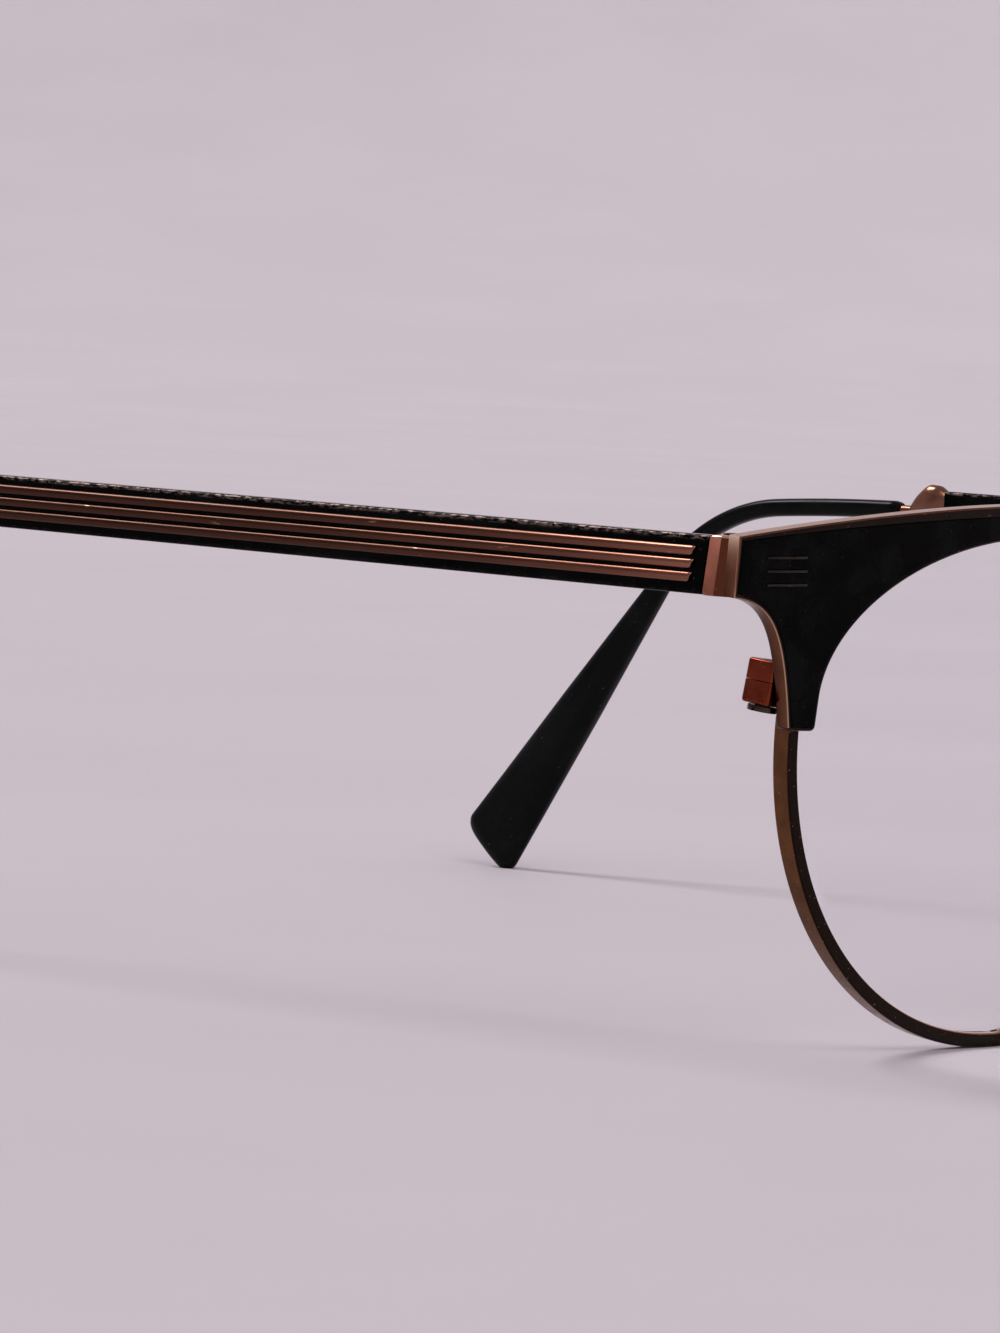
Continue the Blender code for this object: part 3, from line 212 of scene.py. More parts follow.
NECK_LEAD_SHARES = ((0, 0.76), (0.25, 0.86), (1, 1))
SWELL_AT = 113.0 * MM
TIP_WIDTH = 7.3 * MM
TIP_THICKNESS = 2.9 * MM
TIP_END_THICKNESS = 2.3 * MM
TIP_END_ROUND = 1.3 * MM
TIP_END_SKEW = math.radians(7.0)
TIP_FLAT = 0.25 * MM
TIP_SOLID_END = 11.0 * MM
OVAL_SQUARENESS_SHARE = 2.6

# Bridge and nose pads
BRIDGE_HEIGHT = 2.1 * MM
BRIDGE_THICKNESS = 1.5 * MM
BRIDGE_ARCH = 2.2 * MM
BRIDGE_TURN_SHARE = 0.43
BRIDGE_HANDLE_SHARES = (0.33, 0.5)
PAD_HEIGHT = 13.0 * MM
PAD_WIDTH = 7.2 * MM
PAD_THICKNESS = 1.9 * MM
PAD_SPACING = 17.6 * MM
PAD_SETBACK = 8.4 * MM
PAD_LEVEL = 23.0 * MM
PAD_SPLAY = math.radians(28.0)
PAD_LEAN = math.radians(13.0)
PAD_TAPER_SHARE = 0.72
PAD_CROWN = 0.48 * MM
PAD_LAYER_SHARES = ((0, 0.6), (0.12, 0.84), (0.45, 1), (0.85, 0.92), (1, 0.7))
PAD_CAP_SHARE = 0.3
PAD_TAB_THICKNESS = 0.8 * MM
PAD_TAB_RADIUS = 0.8 * MM
PAD_TAB_REACH = 1.5 * MM
PAD_TAB_SUNK = 0.6 * MM
PAD_TAB_HEIGHT = 1.3 * MM
PAD_CORE_HEIGHT = 7.4 * MM
PAD_CORE_WIDTH = 3.1 * MM
PAD_CORE_THICKNESS = 0.35 * MM
PAD_CORE_ROUND = 1.2 * MM
PAD_PIN_RADIUS = 0.35 * MM
PAD_HEAD_RADIUS = 0.63 * MM
PAD_HEAD_HEIGHT = 0.35 * MM
PAD_EDGE = 0.05 * MM
BOX_WALL = 0.45 * MM
BOX_HEIGHT = 1.9 * MM
BOX_EDGE = 0.1 * MM
ARM_RADIUS = 0.5 * MM
ARM_TURN_SHARE = 0.515
ARM_BACK = 2.4 * MM
ARM_SWEEP = 3.0 * MM
ARM_LEAD = 0.8 * MM

# Fits
FIT_GAP = 0.05 * MM
RUNNING_GAP = 0.1 * MM
BUTT_GAP = 0.12 * MM
OVERRUN = 3.0 * MM
STRIP = 1.2 * MM
WELD = 0.0005 * MM
CROWDED = 0.04 * MM
LEAST_MITRE_SHARE = 0.5

# Facets
RIM_STEPS = 300
ROUND_STEPS = 48
SECTION_STEPS = 40
CURVE_STEPS = 32
CORNER_STEPS = 6
QUARTER_STEPS = 4
RIB_SPANS = 12
BEVEL_STEPS = 3
LOCK_BEVEL_STEPS = 4
SEAM_BEVEL_STEPS = 2
WIRE_ROUNDNESS = 6
BEVEL_ANGLE = math.radians(50)
SEAM_ANGLE = math.radians(70)
SHARP_ANGLE = math.radians(35)
FLAT_ANGLE = math.radians(0.02)

# Sizes that follow from those above
LENS_INNER = LENS_SPACING / 2
LENS_OUTER = LENS_INNER + LENS_WIDTH
HALF_WIDTH = LENS_OUTER + BROW_REACH
LENS_WIDEST = LENS_HEIGHT * LENS_WIDEST_SHARE
CROWN_ACROSS = LENS_INNER + LENS_WIDTH * LENS_TOP_SHARE
FRONT_LEAN = math.tan(FRONT_TILT)
RIM_OUTSIDE = RIM_WIDTH - LENS_SEAT
BROW_FRONT = -BROW_FORWARD
BROW_BACK = BROW_FRONT + BROW_DEPTH
BROW_TOP = LENS_HEIGHT + BROW_RISE
BROW_INNER = -LENS_SEAT - BROW_LAP
FACE_FRONT = BROW_FRONT - FACE_PROUD
LOCK_MIDDLE = (LOCK_WIDTH / 2, LOCK_SETBACK + LOCK_DEPTH / 2)
KNUCKLES_TOP = KNUCKLE_HEIGHT * 1.5 + RUNNING_GAP
ENDPIECE_TOP = LENS_HEIGHT - ENDPIECE_DROP
ENDPIECE_BOTTOM = ENDPIECE_TOP - ENDPIECE_HEIGHT
HINGE_LEVEL = (ENDPIECE_TOP + ENDPIECE_BOTTOM) / 2 - HINGE_DROP
HINGE_ACROSS = HALF_WIDTH - CAP_THICKNESS - RUNNING_GAP - BARREL_RADIUS
TEMPLE_OUTSIDE = HALF_WIDTH - HINGE_ACROSS
CORE_MIDDLE = TEMPLE_OUTSIDE - BAR_THICKNESS / 2
BAR_START = CAP_LENGTH + FIT_GAP
BAR_END = BAR_START + BAR_LENGTH
COLLAR_END = BAR_END + FIT_GAP + COLLAR_LENGTH
SLEEVE_START = COLLAR_END + CORE_BARE
BOX_INSIDE = PAD_TAB_RADIUS + RUNNING_GAP
BOX_HALF = PAD_TAB_THICKNESS / 2 + RUNNING_GAP + BOX_WALL

MIRROR = Matrix.Diagonal((-1, 1, 1, 1))
ALONG_Y = Matrix.Rotation(math.pi / 2, 4, "X")


def wrap(across):
    """How far the curved front lies ahead of its ends, at this distance across."""
    return WRAP_DEPTH * ((across / HALF_WIDTH) ** 2 - 1)


def on_front(across, up, back):
    """A place this far behind the curve of the front."""
    return Vector((across, wrap(across) + back, up))


def between(start, end, share):
    """The value this share of the way from start to end."""
    return start + (end - start) * share


def turns(steps):
    """The angles of a full turn in this many steps."""
    return [2 * math.pi * step / steps for step in range(steps)]


def signed_power(value, power):
    return math.copysign(abs(value) ** power, value)


def lens_point(turn, offset=0.0):
    """(across, up) on the lens edge, or this far outside it; turn 0 is the outer side and 0.25 the top."""
    turn %= 1
    squareness = LENS_SQUARENESS_SHARES[int(turn * 4)]
    upper, outer = turn < 0.5, turn < 0.25 or turn >= 0.75
    middle = LENS_INNER + LENS_WIDTH * (LENS_TOP_SHARE if upper else LENS_BOTTOM_SHARE)
    half_width = LENS_OUTER - middle if outer else middle - LENS_INNER
    half_height = LENS_HEIGHT - LENS_WIDEST if upper else LENS_WIDEST
    angle = 2 * math.pi * turn
    across = signed_power(math.cos(angle), 2 / squareness)
    up = signed_power(math.sin(angle), 2 / squareness)
    slope = signed_power(across, squareness - 1) / half_width, signed_power(up, squareness - 1) / half_height
    edge = Vector((middle + half_width * across, LENS_WIDEST + half_height * up))
    return edge + offset * Vector(slope).normalized()


def ring_outline(offset):
    """The closed lens outline, this far outside its edge."""
    return [lens_point(step / RIM_STEPS, offset) for step in range(RIM_STEPS)]


def bezier(start, start_handle, end_handle, end):
    corners = [Vector((x, y, 0)) for x, y in (start, start_handle, end_handle, end)]
    return [Vector(point[:2]) for point in interpolate_bezier(*corners, CURVE_STEPS)]


def smoothed(knots):
    """A smooth curve through these points."""
    curve = [knots[0]]
    for i in range(1, len(knots)):
        before, after = knots[max(i - 2, 0)], knots[min(i + 1, len(knots) - 1)]
        first = knots[i - 1] + (knots[i] - before) / 6
        second = knots[i] - (after - knots[i - 1]) / 6
        curve += interpolate_bezier(knots[i - 1], first, second, knots[i], CORNER_STEPS)[1:]
    return curve


def rounded_corner(before, corner, after, radius):
    """An arc that touches both sides of a corner."""
    to_before, to_after = (before - corner).normalized(), (after - corner).normalized()
    half = to_before.angle(to_after) / 2
    centre = corner + (to_before + to_after).normalized() * radius / math.sin(half)
    start = corner + to_before * radius / math.tan(half) - centre
    sweep = math.pi - 2 * half
    if to_before.x * to_after.y - to_before.y * to_after.x > 0:
        sweep = -sweep
    steps = [sweep * step / CORNER_STEPS for step in range(CORNER_STEPS + 1)]
    return [centre + Matrix.Rotation(angle, 2) @ start for angle in steps]


def thinned(outline):
    """A closed outline without points that crowd the one before."""
    kept = [outline[0]]
    for point in outline[1:]:
        if (point - kept[-1]).length > CROWDED:
            kept.append(point)
    if (kept[-1] - kept[0]).length < CROWDED:
        kept.pop()
    return kept


def clear_of(points, arc_points, corner):
    """Points of a side that the rounding of its corner hasn't taken."""
    reach = (arc_points[0] - corner).length
    return [point for point in points if (point - corner).length > reach + CROWDED]


def inset(outline, distance):
    """A counter-clockwise outline drawn in by this distance all round."""
    moved = []
    for i, point in enumerate(outline):
        into = (point - outline[i - 1]).normalized()
        out = (outline[(i + 1) % len(outline)] - point).normalized()
        normal = Vector((-(into + out).y, (into + out).x)).normalized()
        moved.append(point + normal * distance / max(normal.dot(Vector((-out.y, out.x))), LEAST_MITRE_SHARE))
    return moved


def oval(half_across, half_up):
    """Points of a rounded oblong, counter-clockwise from its +X side."""
    power = 2 / OVAL_SQUARENESS_SHARE
    ways = [(math.cos(turn), math.sin(turn)) for turn in turns(SECTION_STEPS)]
    return [Vector((half_across * signed_power(x, power), half_up * signed_power(y, power))) for x, y in ways]


def oblong(half_across, half_up, radius):
    """A rectangle with rounded corners, counter-clockwise."""
    corners = [Vector((x * half_across, y * half_up)) for x, y in ((1, -1), (1, 1), (-1, 1), (-1, -1))]
    points = []
    for i, corner in enumerate(corners):
        points += rounded_corner(corners[i - 1], corner, corners[(i + 1) % 4], radius)
    return points


def fit(thing, **settings):
    """Sets these attributes of a thing, and gives it back."""
    for name, value in settings.items():
        setattr(thing, name, value)
    return thing


def linked(name, data):
    """A new object in the scene."""
    made = bpy.data.objects.new(name, data)
    bpy.context.scene.collection.objects.link(made)
    return made


def opened(mesh):
    """A mesh as a bmesh to work on."""
    build = bmesh.new()
    build.from_mesh(mesh)
    return build


def mesh_of(build):
    """A mesh from a bmesh, closed and facing outwards."""
    bmesh.ops.recalc_face_normals(build, faces=build.faces)
    mesh = bpy.data.meshes.new("shape")
    build.to_mesh(mesh)
    build.free()
    return mesh


def placed(mesh, matrix):
    mesh.transform(matrix)
    return mesh


def mark(mesh, name, shares):
    """Gives each vertex its share from 0 to 1, for the finish to read."""
    mesh.attributes.new(name, "FLOAT", "POINT").data.foreach_set("value", shares)


def marked(mesh, name, share):
    """A mesh whose vertices have this mark, worked out from their places."""
    mark(mesh, name, [share(vertex.co) for vertex in mesh.vertices])
    return mesh


def baked(data, *modifiers):
    """The mesh of a mesh or curve after these modifiers, given as (kind, settings)."""
    guide = linked("guide", data)
    for kind, settings in modifiers:
        fit(guide.modifiers.new("step", kind), **settings)
    bpy.context.view_layer.update()
    seen = guide.evaluated_get(bpy.context.evaluated_depsgraph_get())
    build = opened(bpy.data.meshes.new_from_object(seen))
    bpy.data.objects.remove(guide)
    bmesh.ops.remove_doubles(build, verts=build.verts, dist=WELD)
    return mesh_of(build)


def combined(mesh, cut=(), added=()):
    """A mesh joined with what is added, less what is cut."""
    for operation, others in (("UNION", added), ("DIFFERENCE", cut)):
        helpers = [linked("helper", other) for other in others]
        steps = [("BOOLEAN", {"operation": operation, "object": helper}) for helper in helpers]
        if steps:
            mesh = baked(mesh, *steps)
        for helper in helpers:
            bpy.data.objects.remove(helper)
    return mesh


def rounded(mesh, width, steps=BEVEL_STEPS, sharper_than=BEVEL_ANGLE):
    settings = {"width": width, "segments": steps, "limit_method": "ANGLE", "angle_limit": sharper_than}
    return baked(mesh, ("BEVEL", settings | {"use_clamp_overlap": False}))


def run_of(points, dimensions, **settings):
    """A curve that runs straight from point to point, closed where it is flat."""
    curve = fit(bpy.data.curves.new("run", "CURVE"), dimensions=dimensions, **settings)
    spline = curve.splines.new("POLY")
    spline.points.add(len(points) - 1)
    for point, place in zip(spline.points, points):
        point.co = (*place.to_3d(), 1)
    spline.use_cyclic_u = dimensions == "2D"
    return curve


def wire(points, radius):
    """A round wire along these points."""
    settings = {"bevel_depth": radius, "bevel_resolution": WIRE_ROUNDNESS, "use_fill_caps": True}
    return baked(run_of(points, "3D", **settings))


def plate(outline, front, back):
    """A flat outline in X and Z, filled and given its thickness along Y."""
    build = opened(baked(run_of(outline, "2D", fill_mode="BOTH", extrude=(back - front) / 2)))
    bmesh.ops.dissolve_limit(build, angle_limit=FLAT_ANGLE, verts=build.verts, edges=build.edges)
    build.transform(Matrix.Translation((0, (front + back) / 2, 0)) @ ALONG_Y)
    return mesh_of(build)


def loft(rings):
    """A skin over rings of as many points each, closed at both ends."""
    build = bmesh.new()
    rows = [[build.verts.new(point) for point in ring] for ring in rings]
    for row, following in zip(rows, rows[1:]):
        for i in range(len(row)):
            build.faces.new((row[i - 1], row[i], following[i], following[i - 1]))
    build.faces.new(rows[0])
    build.faces.new(rows[-1])
    return mesh_of(build)


def slab(outline, front, back, edge):
    """A flat outline in X and Z given its thickness along Y, with rounded edges."""
    turns = [math.pi / 2 * step / BEVEL_STEPS for step in range(BEVEL_STEPS + 1)]
    profile = [(front + edge * (1 - math.sin(t)), edge * (1 - math.cos(t))) for t in reversed(turns)]
    profile += [(back - edge * (1 - math.sin(t)), edge * (1 - math.cos(t))) for t in turns]
    return loft([[Vector((x, depth, z)) for x, z in inset(outline, drawn_in)] for depth, drawn_in in profile])


def box(low, high):
    build = bmesh.new()
    low, high = Vector(low), Vector(high)
    size = Matrix.Diagonal((*(high - low), 1))
    bmesh.ops.create_cube(build, size=1, matrix=Matrix.Translation((low + high) / 2) @ size)
    return mesh_of(build)


def cylinder(radius, low, high, centre=(0, 0)):
    """An upright cylinder between two heights."""
    build = bmesh.new()
    place = Matrix.Translation((*centre, (low + high) / 2))
    ends = {"radius1": radius, "radius2": radius, "depth": high - low}
    bmesh.ops.create_cone(build, cap_ends=True, segments=ROUND_STEPS, matrix=place, **ends)
    return mesh_of(build)


def slice_at(build, place, normal):
    """Cuts the faces of a bmesh along a plane, and keeps both sides."""
    geometry = build.verts[:] + build.edges[:] + build.faces[:]
    bmesh.ops.bisect_plane(build, geom=geometry, dist=WELD, plane_co=place, plane_no=normal)


def on_wrap(mesh):
    """Slices a mesh into upright strips and lays it on the curve of the front."""
    build = opened(mesh)
    left = min(vertex.co.x for vertex in build.verts)
    right = max(vertex.co.x for vertex in build.verts)
    steps = int((right - left) / STRIP)
    for step in range(1, steps + 1):
        slice_at(build, (left + (right - left) * step / (steps + 1), 0, 0), (1, 0, 0))
    for vertex in build.verts:
        vertex.co.y += wrap(vertex.co.x)
    return mesh_of(build)


# Where the frames of the CAD stand
hinge_place = next(Vector(joint["pos_m"]) for joint in frame["joints"] if joint["name"] == "temple_left_fold")
tilt = Matrix.Rotation(FRONT_TILT, 4, "X")
hinge_seat = tilt @ Vector((HINGE_ACROSS, wrap(HINGE_ACROSS) + BROW_BACK, HINGE_LEVEL))
FRONT = Matrix.Translation(hinge_place - Vector((0, HINGE_SETBACK, 0)) - hinge_seat) @ tilt
HINGE = Matrix.Translation(hinge_place)
TEMPLE = HINGE @ Euler((TEMPLE_RISE, 0, TEMPLE_SPLAY)).to_matrix().to_4x4()
lock_split = lens_point(LOCK_TURN_SHARE, RIM_OUTSIDE)
lock_out = lock_split - lens_point(LOCK_TURN_SHARE)
lock_place = Matrix.Translation((lock_split.x, wrap(lock_split.x), lock_split.y))
LOCK = FRONT @ lock_place @ Matrix.Rotation(-math.atan2(lock_out.y, lock_out.x), 4, "Y")
pad_place = Matrix.Translation((PAD_SPACING / 2, wrap(PAD_SPACING / 2) + PAD_SETBACK, PAD_LEVEL))
PAD_IN_FRONT = pad_place @ Matrix.Rotation(-PAD_SPLAY, 4, "Z") @ Matrix.Rotation(-PAD_LEAN, 4, "Y")
PAD = FRONT @ PAD_IN_FRONT


# Finishes

def linear(red, green, blue):
    """Linear colour values of an 8-bit screen colour."""
    shares = [channel / 255 for channel in (red, green, blue)]
    return tuple(c / 12.92 if c <= 0.04045 else ((c + 0.055) / 1.055) ** 2.4 for c in shares)


RUBBED_COLOUR = linear(214, 164, 132)
CHIP_COLOUR = linear(124, 106, 98)
PATCH_SIZE = 2.4 * MM
SHEEN_SIZE = 0.9 * MM
RUB_SIZE = 0.3 * MM
SCRATCH_SIZE = 0.12 * MM
SCRATCH_DEPTH = 0.004 * MM
SMEAR_SIZE = 3.5 * MM
CHIP_SIZE = 0.22 * MM
PAINTED_HIGHLIGHT_POWER = 6.0
WEAR_POWER = 3.0
RUBBED_STRENGTH = 0.4
SCRATCH_STRENGTH = 0.5
CHIP_METAL_SHARE = 0.85
CHIP_ROUGHNESS = 0.42


class Finish:
    """A Principled material and the few nodes that shape it."""

    def __init__(self, name, slot):
        self.material = bpy.data.materials.new(name)
        self.material.use_nodes = True
        self.slot = slot
        self.tree = self.material.node_tree
        self.shader = self.tree.nodes["Principled BSDF"]
        self.place = self.tree.nodes.new("ShaderNodeTexCoord").outputs["Object"]

    def set(self, **values):
        """Sets shader sockets: a number, a colour or the socket that drives it."""
        for name, value in values.items():
            self.feed(self.shader.inputs[name.replace("_", " ")], value)
        return self

    def feed(self, socket, value):
        if isinstance(value, bpy.types.NodeSocket):
            self.tree.links.new(value, socket)
        elif socket.type == "RGBA":
            socket.default_value = (*value, 1)
        else:
            socket.default_value = value

    def node(self, kind, inputs, output=0, **settings):
        """One output of a node with these settings, and inputs given by name or number."""
        made = fit(self.tree.nodes.new(kind), **settings)
        for name, value in inputs.items():
            self.feed(made.inputs[name], value)
        return made.outputs[output]

    def noise(self, size, detail=3.0, stretch=(1, 1, 1), rough=0.55):
        """Noise whose features are about this size, in metres, drawn out by these factors."""
        scale = tuple(1 / (size * factor) for factor in stretch)
        place = self.node("ShaderNodeMapping", {"Vector": self.place, "Scale": scale})
        inputs = {"Vector": place, "Scale": 1.0, "Detail": detail, "Roughness": rough}
        return self.node("ShaderNodeTexNoise", inputs)

    def ramp(self, value, low, high, start=0.0, end=1.0):
        """From start to end, as the value goes from low to high."""
        inputs = {"Value": value, "From Min": low, "From Max": high, "To Min": start, "To Max": end}
        return self.node("ShaderNodeMapRange", inputs, interpolation_type="SMOOTHSTEP")

    def math(self, operation, a, b):
        return self.node("ShaderNodeMath", {0: a, 1: b}, operation=operation)

    def mix(self, share, first, second):
        """A colour between two, by a share."""
        return self.node("ShaderNodeMix", {0: share, 6: first, 7: second}, 2, data_type="RGBA")

    def blend(self, share, first, second):
        """A number between two, by a share."""
        return self.node("ShaderNodeMix", {0: share, 2: first, 3: second}, data_type="FLOAT")

    def attribute(self, name):
        return self.node("ShaderNodeAttribute", {}, 2, attribute_name=name)

    def bump(self, size, detail, depth, strength, stretch=(1, 1, 1)):
        """Fine relief of this size and depth."""
        height = self.noise(size, detail, stretch)
        return self.node("ShaderNodeBump", {"Height": height, "Distance": depth, "Strength": strength})

    def dusted(self, colour, dust, size, low, high, strength):
        """A colour under specks of dust."""
        specks = self.math("MULTIPLY", self.ramp(self.noise(size, 1), low, high), strength)
        return self.mix(specks, colour, dust)


def metal(name, bright, dark, smooth, matt, stretch=(1, 1, 1), marks=None):
    """Plated metal with patches, scratches and rub spots, and painted shade and painted highlights in its
    marked places.
    """
    made = Finish(name, "rose_gold")
    colour = made.mix(made.ramp(made.noise(PATCH_SIZE, 4, stretch), 0.32, 0.72), bright, dark)
    # Each mark paints shade or a highlight into the colour; the edge mark, a painted highlight, is narrowed
    # by a power.
    for mark, tint in (marks or {}).items():
        share = made.attribute(mark)
        colour = made.mix(made.math("POWER", share, PAINTED_HIGHLIGHT_POWER) if mark == "edge" else share, colour, tint)
    # Random rub spots of bare metal.
    rub_and_highlight = made.ramp(made.noise(RUB_SIZE, 2, stretch), 0.69, 0.76)
    finer = tuple(factor * 2 if factor > 1 else factor for factor in stretch)
    made.set(
        Base_Color=made.mix(made.math("MULTIPLY", rub_and_highlight, RUBBED_STRENGTH), colour, RUBBED_COLOUR),
        Metallic=1.0,
        Roughness=made.ramp(made.noise(SHEEN_SIZE, 3, stretch), 0.3, 0.7, smooth, matt),
        Normal=made.bump(SCRATCH_SIZE, 3, SCRATCH_DEPTH, SCRATCH_STRENGTH, finer),
    )
    return made


def lacquer(name, worn=True):
    """Gloss black with a worn edge where the plating shows, smears and dust; the smears' lighter patches are
    painted faint reflections.
    """
    made = Finish(name, "black_lacquer")
    smears = made.noise(SMEAR_SIZE, 4, (1, 2.5, 1))
    # The smears vary the gloss, and their lighter patches in the colour are painted faint reflections.
    black = made.mix(made.ramp(smears, 0.44, 0.7), (0.0005, 0.0006, 0.0005), (0.0034, 0.0038, 0.0038))
    dust = {"size": 0.16 * MM, "low": 0.775, "high": 0.81, "strength": 0.35}
    colour = made.dusted(black, linear(150, 140, 135), **dust)
    rough = made.ramp(smears, 0.3, 0.75, 0.07, 0.22)
    if worn:
        chips = made.ramp(made.noise(CHIP_SIZE, 4, (1, 3.5, 1), 0.65), 0.46, 0.6)
        wear = made.math("MULTIPLY", chips, made.math("POWER", made.attribute("edge"), WEAR_POWER))
        colour = made.mix(wear, colour, CHIP_COLOUR)
        rough = made.blend(wear, rough, CHIP_ROUGHNESS)
        made.set(Metallic=made.math("MULTIPLY", wear, CHIP_METAL_SHARE))
    relief = made.bump(size=0.8 * MM, detail=3, depth=0.004 * MM, strength=0.35)
    return made.set(Base_Color=colour, Roughness=rough, IOR=1.5, Specular_IOR_Level=0.03, Normal=relief)


def acetate(name):
    """Polished black plastic with soft tumbling ripples and dust."""
    made = Finish(name, "black_acetate")
    cloud = made.noise(4 * MM, 3)
    black = made.mix(made.ramp(cloud, 0.35, 0.7), (0.0010, 0.0015, 0.0013), (0.0026, 0.0034, 0.0030))
    dust = {"size": 0.2 * MM, "low": 0.76, "high": 0.80, "strength": 0.4}
    return made.set(
        Base_Color=made.dusted(black, linear(140, 135, 130), **dust),
        Roughness=made.ramp(cloud, 0.3, 0.75, 0.14, 0.3),
        IOR=1.49,
        Specular_IOR_Level=0.09,
        Normal=made.bump(size=1.6 * MM, detail=2, depth=0.012 * MM, strength=0.4),
    )


def clear(name):
    """A coated clear lens: hardly any reflection, and a few faint smears."""
    made = Finish(name, "clear_lens")
    smears = made.ramp(made.noise(6 * MM, 3), 0.35, 0.75, 0.0, 0.025)
    return made.set(Base_Color=(0.985, 0.99, 0.99), Transmission_Weight=1.0, IOR=1.25, Roughness=smears)


def soft_pad(name):
    """Clear soft silicone with a faint cloud."""
    made = Finish(name, "silicone")
    cloud = made.noise(2 * MM, 3)
    return made.set(
        Base_Color=made.mix(made.ramp(cloud, 0.3, 0.7), (0.88, 0.87, 0.84), (0.80, 0.78, 0.73)),
        Roughness=made.ramp(cloud, 0.3, 0.7, 0.25, 0.4),
        Transmission_Weight=0.8,
        IOR=1.41,
        Normal=made.bump(size=0.5 * MM, detail=2, depth=0.005 * MM, strength=0.4),
    )


plated = metal("plated_metal", (0.26, 0.125, 0.08), (0.18, 0.083, 0.052), smooth=0.14, matt=0.27)
# The brow plate's marks: shade is painted shade, edge a painted highlight along the top, inside painted
# near-black shade.
brow_metal = metal(
    "brow_metal", (0.185, 0.077, 0.040), (0.132, 0.052, 0.027), smooth=0.13, matt=0.24,
    marks={"shade": (0.05, 0.021, 0.012), "edge": (0.86, 0.62, 0.44), "inside": (0.016, 0.011, 0.008)},
)
# The cap's marks: shade is painted shade on the bevel and towards the bottom, edge a painted highlight along
# the top.
cap_metal = metal(
    "cap_metal", (0.64, 0.27, 0.18), (0.47, 0.18, 0.115), smooth=0.13, matt=0.25,
    marks={"shade": (0.115, 0.036, 0.018), "edge": (0.9, 0.6, 0.45)},
)
# The eyewire's marks: shade is painted shade on the front face, inside a painted highlight on the lens-side
# lip.
rim_metal = metal(
    "rim_metal", (0.147, 0.065, 0.028), (0.10, 0.044, 0.019), smooth=0.16, matt=0.3,
    marks={"shade": (0.013, 0.008, 0.005), "inside": (0.62, 0.25, 0.10)},
)
# The ribs' shade mark is painted shade, darker towards the rear.
drawn = metal(
    "drawn_metal", (0.31, 0.135, 0.088), (0.175, 0.07, 0.045), smooth=0.13, matt=0.27, stretch=(1, 9, 1),
    marks={"shade": (0.063, 0.027, 0.0175)},
)
copper = metal("brazed_copper", (0.21, 0.040, 0.018), (0.10, 0.018, 0.009), smooth=0.16, matt=0.3)
screw_metal = metal("screw_metal", (0.075, 0.052, 0.038), (0.035, 0.026, 0.02), smooth=0.1, matt=0.22)
inlaid = metal(
    "inlaid_line", (0.034, 0.031, 0.023), (0.016, 0.0145, 0.011), smooth=0.22, matt=0.36, stretch=(4, 1, 1)
)
face_black = lacquer("face_lacquer", worn=False)
bar_black = lacquer("bar_lacquer")
tip_black = acetate("tip_acetate")
lens_clear = clear("coated_lens")
pad_silicone = soft_pad("pad_silicone")


# Pieces

def held_in_box(mesh):
    """Draws in the finer facets that stand a hair outside the CAD's box."""
    for vertex in mesh.vertices:
        vertex.co = [min(max(value, low), high) for value, low, high in zip(vertex.co, *cad_box)]


def show(name, mesh, finish, body, node):
    """One finished piece in the row frame, riding on its body in place of its node, where it has one."""
    held_in_box(mesh)
    mesh.materials.clear()
    mesh.materials.append(finish.material)
    mesh.shade_smooth()
    mesh.set_sharp_from_angle(angle=SHARP_ANGLE)
    piece = linked(name, mesh)
    piece.modifiers.new("even_shading", "WEIGHTED_NORMAL").keep_sharp = True
    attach(piece, body)
    if node:
        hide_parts(node)
    return piece


def pair(name, mesh, finish, body, place, in_cad=True):
    """A left-hand piece, given in its own frame, and its twin."""
    mesh.transform(place)
    twin = mesh.copy()
    twin.transform(MIRROR)
    twin.flip_normals()
    made = []
    for side, shape in (("left", mesh), ("right", twin)):
        carrier = body if body == "front" else f"{body}_{side}"
        made.append(show(f"fine_{name}_{side}", shape, finish, carrier, f"{name}_{side}" if in_cad else None))
    return made


def arc(centre, radius, start):
    """A quarter turn of (out, back) points, counter-clockwise from this many quarters."""
    angles = [math.pi / 2 * (start + step / QUARTER_STEPS) for step in range(QUARTER_STEPS + 1)]
    return [(centre[0] + radius * math.cos(a), centre[1] + radius * math.sin(a)) for a in angles]


def make_eyewire():
    """The grooved ring, split at the closing block."""
    outline = ring_outline(0)
    length = sum((point - outline[i - 1]).length for i, point in enumerate(outline))
    half_gap = SPLIT_GAP / 2 / length
    start, end = LOCK_TURN_SHARE + half_gap, LOCK_TURN_SHARE + 1 - half_gap
    lip, middle = -LENS_SEAT, RIM_DEPTH / 2
    inner, outer, rear = lip + RIM_ROUND, RIM_OUTSIDE - RIM_ROUND, RIM_DEPTH - RIM_ROUND
    section = arc((inner, RIM_ROUND), RIM_ROUND, 2) + arc((outer, RIM_ROUND), RIM_ROUND, 3)
    section += arc((outer, rear), RIM_ROUND, 0) + arc((inner, rear), RIM_ROUND, 1)
    section += [(lip, middle + GROOVE_WIDTH / 2), (FIT_GAP, middle), (lip, middle - GROOVE_WIDTH / 2)]
    rings = []
    for step in range(RIM_STEPS + 1):
        turn = start + (end - start) * step / RIM_STEPS
        rings.append([on_front(*lens_point(turn, outwards), back) for outwards, back in section])
    mesh = loft(rings)
    # Painted shade on the front face and a painted highlight on the lens-side lip.
    mark(mesh, "shade", [float(back <= RIM_ROUND / 2) for _, back in section] * len(rings))
    mark(mesh, "inside", [float(outwards <= lip + RIM_ROUND / 2) for outwards, _ in section] * len(rings))
    return mesh


def rim_room(low, high):
    """The room that the eyewire takes in what lies around it."""
    return plate(ring_outline(RIM_OUTSIDE + FIT_GAP), low, high)


